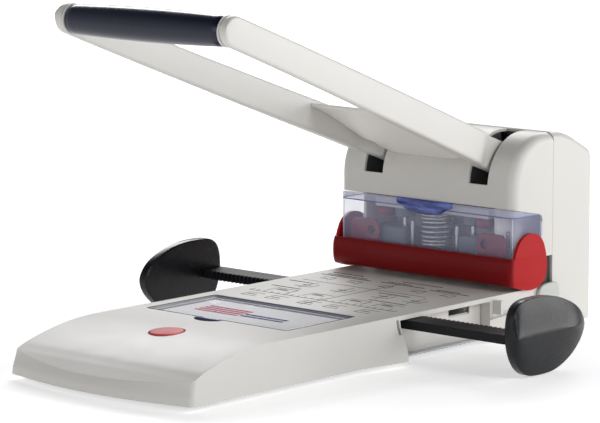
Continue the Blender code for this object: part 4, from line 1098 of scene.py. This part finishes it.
def make_paddle(turn):
    outline = smooth_closed(PADDLE_OUTLINE, 8)
    return loft([[(turn * (PADDLE.x0 + out), PINION_Y + turn * y * (wide - tip * ease(y / 30)),
                   RIDGE_Z + z * tall) for y, z in outline] for out, wide, tall, tip in PADDLE_SWELL])


def build_stops():
    for turn, name in ((1, "right"), (-1, "left")):
        piece(f"{name}_paddle", make_paddle(turn), "stop_black", f"{name}_stop",
              [f"{name}_stop_paddle"], 24)


# ---------------------------------------------------------------- table, depot and button
LINE = 0.6
LINE_UP = 0.12


def stroke(x0, x1, y0, y1):
    """A printed line on the table."""
    return box(x0, x1, y0, y1, TABLE - 0.02, TABLE + LINE_UP)


def frame_mark(x0, x1, y0, y1, sides):
    """Some sides of a printed box: north is away from the front."""
    marks = {"S": (x0, x1, y0, y0 + LINE), "N": (x0, x1, y1 - LINE, y1), "W": (x0, x0 + LINE, y0, y1),
             "E": (x1 - LINE, x1, y0, y1)}
    return [stroke(*marks[s]) for s in sides]


def dashes(x0, x1, gap, width):
    """The ends of dashes along a row; width gives the length of each from its number."""
    x, ends = x0, []
    while x < x1:
        long = width(len(ends))
        ends.append((x, min(x + long, x1)))
        x += long + gap
    return ends


def printed_row(x0, x1, y, seed):
    """A row of short dashes of uneven length, standing for small print."""
    return [stroke(a, b, y, y + 2.0)
            for a, b in dashes(x0, x1, 0.8, lambda k: 1.6 + (k * 5 + seed * 3) % 4 * 0.8)]


FINE_PRINT = ((-90, -30, 388), (-86, -40, 393), (-20, 30, 390), (-16, 12, 395), (40, 84, 386),
              (44, 70, 391), (-88, -52, 402), (-6, 40, 404), (-90, -62, 344), (14, 50, 346),
              (-84, -50, 314), (30, 72, 314))


def make_table_marks():
    """Format guides: corner brackets, measure lines with ticks, and short dashes."""
    parts = []
    for x in (-74, -46, -8, 22, 58):
        parts += [*frame_mark(x, x + 17, 262, 276, "NSW"), stroke(x + 3, x + 13, 268, 269.4)]
    for k, x in enumerate((-70, -28, 16, 52)):
        parts += [*frame_mark(x, x + 24, 292, 308, "NW" if k % 2 else "NWE"),
                  stroke(x + 4, x + 18, 300, 301.2), stroke(x + 4, x + 14, 303, 304.2)]
    parts.append(stroke(-84, 84, 284, 284 + LINE))
    parts += [stroke(x, x + LINE, 284, 289 if i % 5 else 292) for i, x in enumerate(range(-84, 85, 8))]
    for x in (-60, -18, 30, 66):
        parts += [*frame_mark(x - 9, x + 9, 328, 342, "SE"), stroke(x - 6, x + 4, 335, 336.4),
                  stroke(x, x + LINE, 322, 350)]
    parts.append(stroke(-84, 60, 356, 356 + LINE))
    for x in (-72, -40, -4, 34, 68):
        parts += [*frame_mark(x - 8, x + 8, 366, 380, "NE"), stroke(x - 5, x + 3, 372, 373.4)]
    parts.append(stroke(-LINE / 2, LINE / 2, 258, 400))
    for row, (x0, x1, y) in enumerate(FINE_PRINT):
        parts += printed_row(x0, x1, y, row)
    return join(*parts)


def print_block(x0, x1, y0, y1, rows):
    """Broken rows of small printed bars on the card."""
    top, parts, pitch = CARD.z1, [], (y1 - y0) / rows
    for row in range(rows):
        low = y0 + row * pitch
        for a, b in dashes(CARD.x0 + x0, CARD.x0 + x1, 0.9, lambda k: 2.0 + (k * 7 + row * 5) % 4):
            parts.append(box(a, b, CARD.y0 + low, CARD.y0 + low + pitch * 0.6, top, top + 0.12))
    return join(*parts)


def thumb(radius, low, high):
    """The round bite in the lid's front edge, over the finger notch."""
    return disc("Z", NOTCH_X, LID.y0 - 4, radius, low - PAST, high + PAST)


def make_lid():
    outer = bevel(lid_slab(0, 0, 0, LID.z0, LID.z1, 3, 6), 0.35, 2, 50)
    groove = boolean(lid_slab(7, 9, 7, LID.z1 - 0.3, LID.z1 + 2, 2, 4),
                     [lid_slab(7.7, 9.7, 7.7, LID.z1 - 3, LID.z1 + 5, 1.6, 4)])
    return boolean(outer, [thumb(10, LID.z0, LID.z1), groove])


def make_lid_frame():
    """Moulded border under the lid's rim."""
    return boolean(lid_slab(0.6, 0.6, 0.6, LID.z0 - 0.15, LID.z0 + 0.25, 2.6, 4),
                   [lid_slab(5, 7, 5, LID.z0 - 3, LID.z1, 2, 4), thumb(10.6, LID.z0, LID.z1)])


def make_lid_edge():
    """Painted shade: a thin dark line round the top of the lid's edge."""
    low, high = LID.z1 - 0.2, LID.z1 + 0.06
    return boolean(lid_slab(0, 0, 0, low, high, 3, 6),
                   [lid_slab(0.55, 0.8, 0.4, low - 3, high + 3, 2.4, 6), thumb(10, low, high)])


def make_lid_rebate():
    """Painted shade: a dark ledge round the lid for the shadow in its gap, and a dark floor in the finger
    notch for its shade.
    """
    inset = 0.1 - LID_GAP
    low, high = LID.z0 - GAP - 0.2, LID.z0 - GAP + 0.12
    ledge = boolean(lid_slab(inset, inset, -2.4, low, high, 3.1),
                    [lid_slab(0.8, 0.8, 0.8, low - 3, high + 3, 2.4)])
    return join(ledge, notch(LID.y0 - 1.0, NOTCH_HALF - 0.1, NOTCH_REACH - 1.6, TABLE - 1.4, TABLE - 0.3))


def make_button():
    """Low dome on a straight skirt, its top tilted towards the front like the table's slope."""
    r, top = BUTTON.x1, TABLE + 0.2
    cap = [(0, BUTTON.z0), (r - 0.3, BUTTON.z0), (r - 0.3, top - 1.8), (r - 0.5, top - 1.0),
           (r - 1.1, top - 0.35)]
    cap += [((r - 1.1) * (1 - i / 10), top - 0.35 + 1.9 * sin(pi * i / 20)) for i in range(1, 10)]
    dome = turned(cap + [(0, top + 1.55)], "Z", 0, BUTTON.y, 64)
    tilt = tan(radians(2.2))
    return shift(dome, lambda x, y, z: (x, y, z + (y - BUTTON.y) * tilt if z > TABLE - 4 else z))


def make_button_ring():
    near, far = BUTTON.x1 + 0.05, BUTTON.x1 + 1.6
    low, high = TABLE - 6, TABLE - 4.4
    return turned([(near, low), (far, low), (far, high), (near, high), (near, low)], "Z", 0, BUTTON.y, 64)


def build_table():
    piece("lid_rebate", make_lid_rebate(), "notch_painted_shade", "base")
    piece("table_marks", make_table_marks(), "print_grey", "base")
    piece("lid_panel", make_lid(), "lid", "lid", ["depot_lid"])
    piece("lid_border", make_lid_frame(), "lid_border", "lid")
    # Painted shade: the lid's edge line uses the table print's ink colour.
    piece("lid_edge_painted_shade", make_lid_edge(), "print_grey", "lid")
    barrel = disc("X", LID.y1 - 0.2, LID.z0 + 0.95, 0.9, LID.x0 + 4, LID.x1 - 4, 16)
    piece("lid_hinge_barrel", barrel, "hinge_grey", "lid")
    piece("card_print_red", print_block(18, 68, 24, 50, 4), "print_red", "lid")
    piece("card_print_blue", print_block(70, 118, 26, 40, 2), "print_blue", "lid")
    piece("button_cap", make_button(), "button", "button", ["release_button"])
    piece("button_ring", make_button_ring(), "slot_black", "base")


# ---------------------------------------------------------------- punch works behind the guard
SPRING_RADIUS, SPRING_WIRE, SPRING_TURNS = 15.5, 1.45, 8
COIL_WIRE, COIL_TURNS = 0.6, 5
PIN_BORE = 3.1
SHOE = (57, 91, 69.5, 92)   # a housing low behind the guard: across, then up
SHOE_WINDOW = (66, 82, 4)
ROD_RADIUS, ROD_FOOT, ROD_TOP = 2.2, 71, 94
ROD_PLACES = (26, 84)


def make_spring(span, radius, wire, turns, sides=12, steps=36):
    """A compression spring with closed end coils, as tall as a span and in its middle."""
    count = turns * steps
    centres = []
    for i in range(count + 1):
        t = i / count
        flat = t - 0.25 * sin(2 * pi * t) / (2 * pi)
        angle = 2 * pi * turns * t
        centres.append((radius * cos(angle), span.y + radius * sin(angle),
                        span.z0 + wire + (span.z1 - span.z0 - 2 * wire) * flat))
    return swept_tube(centres, wire, sides)


def ends(span, inset):
    """The two places between which a spring stretches."""
    return place(0, span.y, span.z0 + inset), place(0, span.y, span.z1 - inset)


def make_punch_shoe(side):
    """Rounded housing low at the outer end of the punch line, with a round window."""
    near, far, z0, z1 = SHOE
    x, z, radius = SHOE_WINDOW
    shoe = prism(round_rect(*mirrored(side, near, far), z0, z1, 8, 6), "Y", GUARD.y0 + 2.9, GUARD.y0 + 6.6)
    window = disc("Y", side * x, z, radius, GUARD.y0, GUARD.y0 + 9, 24)
    return boolean(bevel(shoe, 1.2, 3, 50), [window])


def build_works():
    main = make_spring(SPRING, SPRING_RADIUS, SPRING_WIRE, SPRING_TURNS)
    piece("main_spring", main, "spring", "punch_drive", ["return_spring"],
          stretch=ends(SPRING, 2))
    radius = (COIL.x1 - COIL.x0) / 2 - COIL_WIRE
    coil = make_spring(COIL, radius, COIL_WIRE, COIL_TURNS, 8, 24)
    piece("button_return_coil", coil, "spring", "button", ["button_spring"],
          stretch=ends(COIL, 1))
    for side, name in SIDES:
        piece(f"punch_shoe_{name}", make_punch_shoe(side), "clip", "base")
        clip = Span(f"punch_clip_{name}")
        shell = bevel(slab(clip.x0, clip.x1, clip.y0, clip.y1, clip.z0, clip.z1, 5, 6), 2.2, 4, 50)
        piece(f"holder_clip_{name}", shell, "clip", "punch_drive", [f"punch_clip_{name}"])
        block = Span(f"guide_block_{name}")
        body = bevel(slab(block.x0, block.x1, block.y0, block.y1, block.z0, block.z1, 3), 0.8, 3, 50)
        bore = disc("Z", side * DIE_X, PUNCH_LINE, PIN_BORE, block.z0 - PAST, block.z1 + PAST, 32)
        piece(f"guide_{name}", boolean(body, [bore]), "block", "base",
              [f"guide_block_{name}"])
        for k, x in enumerate(ROD_PLACES):
            rod = turned([(0, ROD_FOOT), (ROD_RADIUS, ROD_FOOT), (ROD_RADIUS, ROD_TOP - 1),
                          (ROD_RADIUS - 0.7, ROD_TOP), (0, ROD_TOP)], "Z", side * x, PUNCH_LINE - 6, 24)
            piece(f"guide_rod_{name}_{k + 1}", rod, "spring", "base")


# ---------------------------------------------------------------- screws and discs made by geometry nodes
def repeated(name, points, radius, depth, finish, facing, sockets=6):
    """Domed heads with a socket in the middle, on a set of points, as one realized mesh."""
    tree = bpy.data.node_groups.new(name, "GeometryNodeTree")

    def port(title, way, kind):
        return tree.interface.new_socket(title, in_out=way, socket_type="NodeSocket" + kind).identifier

    port("Geometry", "INPUT", "Geometry")
    size, deep = port("Head Radius", "INPUT", "Float"), port("Head Depth", "INPUT", "Float")
    port("Geometry", "OUTPUT", "Geometry")

    def add(kind, inputs=None, **settings):
        """A node's first output; its inputs take values, sockets or several sockets."""
        node = tree.nodes.new(kind)
        for key, value in settings.items():
            setattr(node, key, value)
        for key, value in (inputs or {}).items():
            for one in value if isinstance(value, list) else [value]:
                if isinstance(one, bpy.types.NodeSocket):
                    tree.links.new(one, node.inputs[key])
                else:
                    node.inputs[key].default_value = one
        return node.outputs[0] if node.outputs else None

    def scaled(socket, factor):
        return add("ShaderNodeMath", {0: socket, 1: factor}, operation="MULTIPLY")

    def raised(mesh, factor):
        lift = add("ShaderNodeCombineXYZ", {"Z": scaled(tall, factor)})
        return add("GeometryNodeTransform", {"Geometry": mesh, "Translation": lift})

    source = tree.nodes.new("NodeGroupInput").outputs
    wide, tall = source["Head Radius"], source["Head Depth"]
    head = add("GeometryNodeMeshCylinder", {"Vertices": 28, "Radius": wide, "Depth": tall})
    dome = add("GeometryNodeMeshCone", {"Vertices": 28, "Radius Top": scaled(wide, 0.78),
                                        "Radius Bottom": wide, "Depth": scaled(tall, 0.4)})
    hole = add("GeometryNodeMeshCylinder", {"Vertices": sockets, "Radius": scaled(wide, 0.45),
                                            "Depth": scaled(tall, 2.2)})
    whole = add("GeometryNodeMeshBoolean", {"Mesh 2": [head, raised(dome, 0.5)]}, operation="UNION")
    drilled = add("GeometryNodeMeshBoolean", {"Mesh 1": whole, "Mesh 2": raised(hole, 1.3)},
                  operation="DIFFERENCE")
    spread = add("GeometryNodeInstanceOnPoints",
                 {"Points": source["Geometry"], "Instance": drilled, "Rotation": facing})
    real = add("GeometryNodeRealizeInstances", {"Geometry": spread})
    coat = add("GeometryNodeSetMaterial", {"Geometry": real, "Material": LOOKS[finish]})
    add("NodeGroupOutput", {"Geometry": coat})

    seed = bpy.data.meshes.new(name + "_points")
    seed.from_pydata([place(*p) for p in points], [], [])
    holder = stand(name + "_points", seed)
    modifier = holder.modifiers.new("spread", "NODES")
    modifier.node_group = tree
    modifier[size], modifier[deep] = radius * MM, depth * MM
    mesh = bpy.data.meshes.new_from_object(holder.evaluated_get(bpy.context.evaluated_depsgraph_get()))
    bpy.data.objects.remove(holder)
    bpy.data.meshes.remove(seed)
    put(name, mesh, "base", sharp=30)


def build_fasteners():
    back = [(x, REAR.y1 + 0.2, z) for x in (-84, 84) for z in (44, 134)]
    repeated("rear_screws", back, 4.2, 1.6, "steel", (radians(-90), 0, 0))
    under = [(x, y, PLATE.z0 - 0.3) for x in (-66, 66) for y in (60, 150, 250, 410, 505)]
    repeated("plate_screws", under, 4.0, 1.4, "steel", (radians(180), 0, 0))
    discs = [(x, y, DEPOT.z0 + 3.0) for x in (-56, -30, 22, 48) for y in (182, 210)]
    repeated("spare_discs", discs, 10.5, 2.6, "nylon", (0, 0, 0), 24)


# ---------------------------------------------------------------- make everything
studio()
dress_nodes()
build_base()
build_head()
build_guard()
piece("red_guard", make_finger_guard(), "red", "guard", ["finger_guard"])
build_handle()
build_stops()
build_table()
build_works()
build_fasteners()
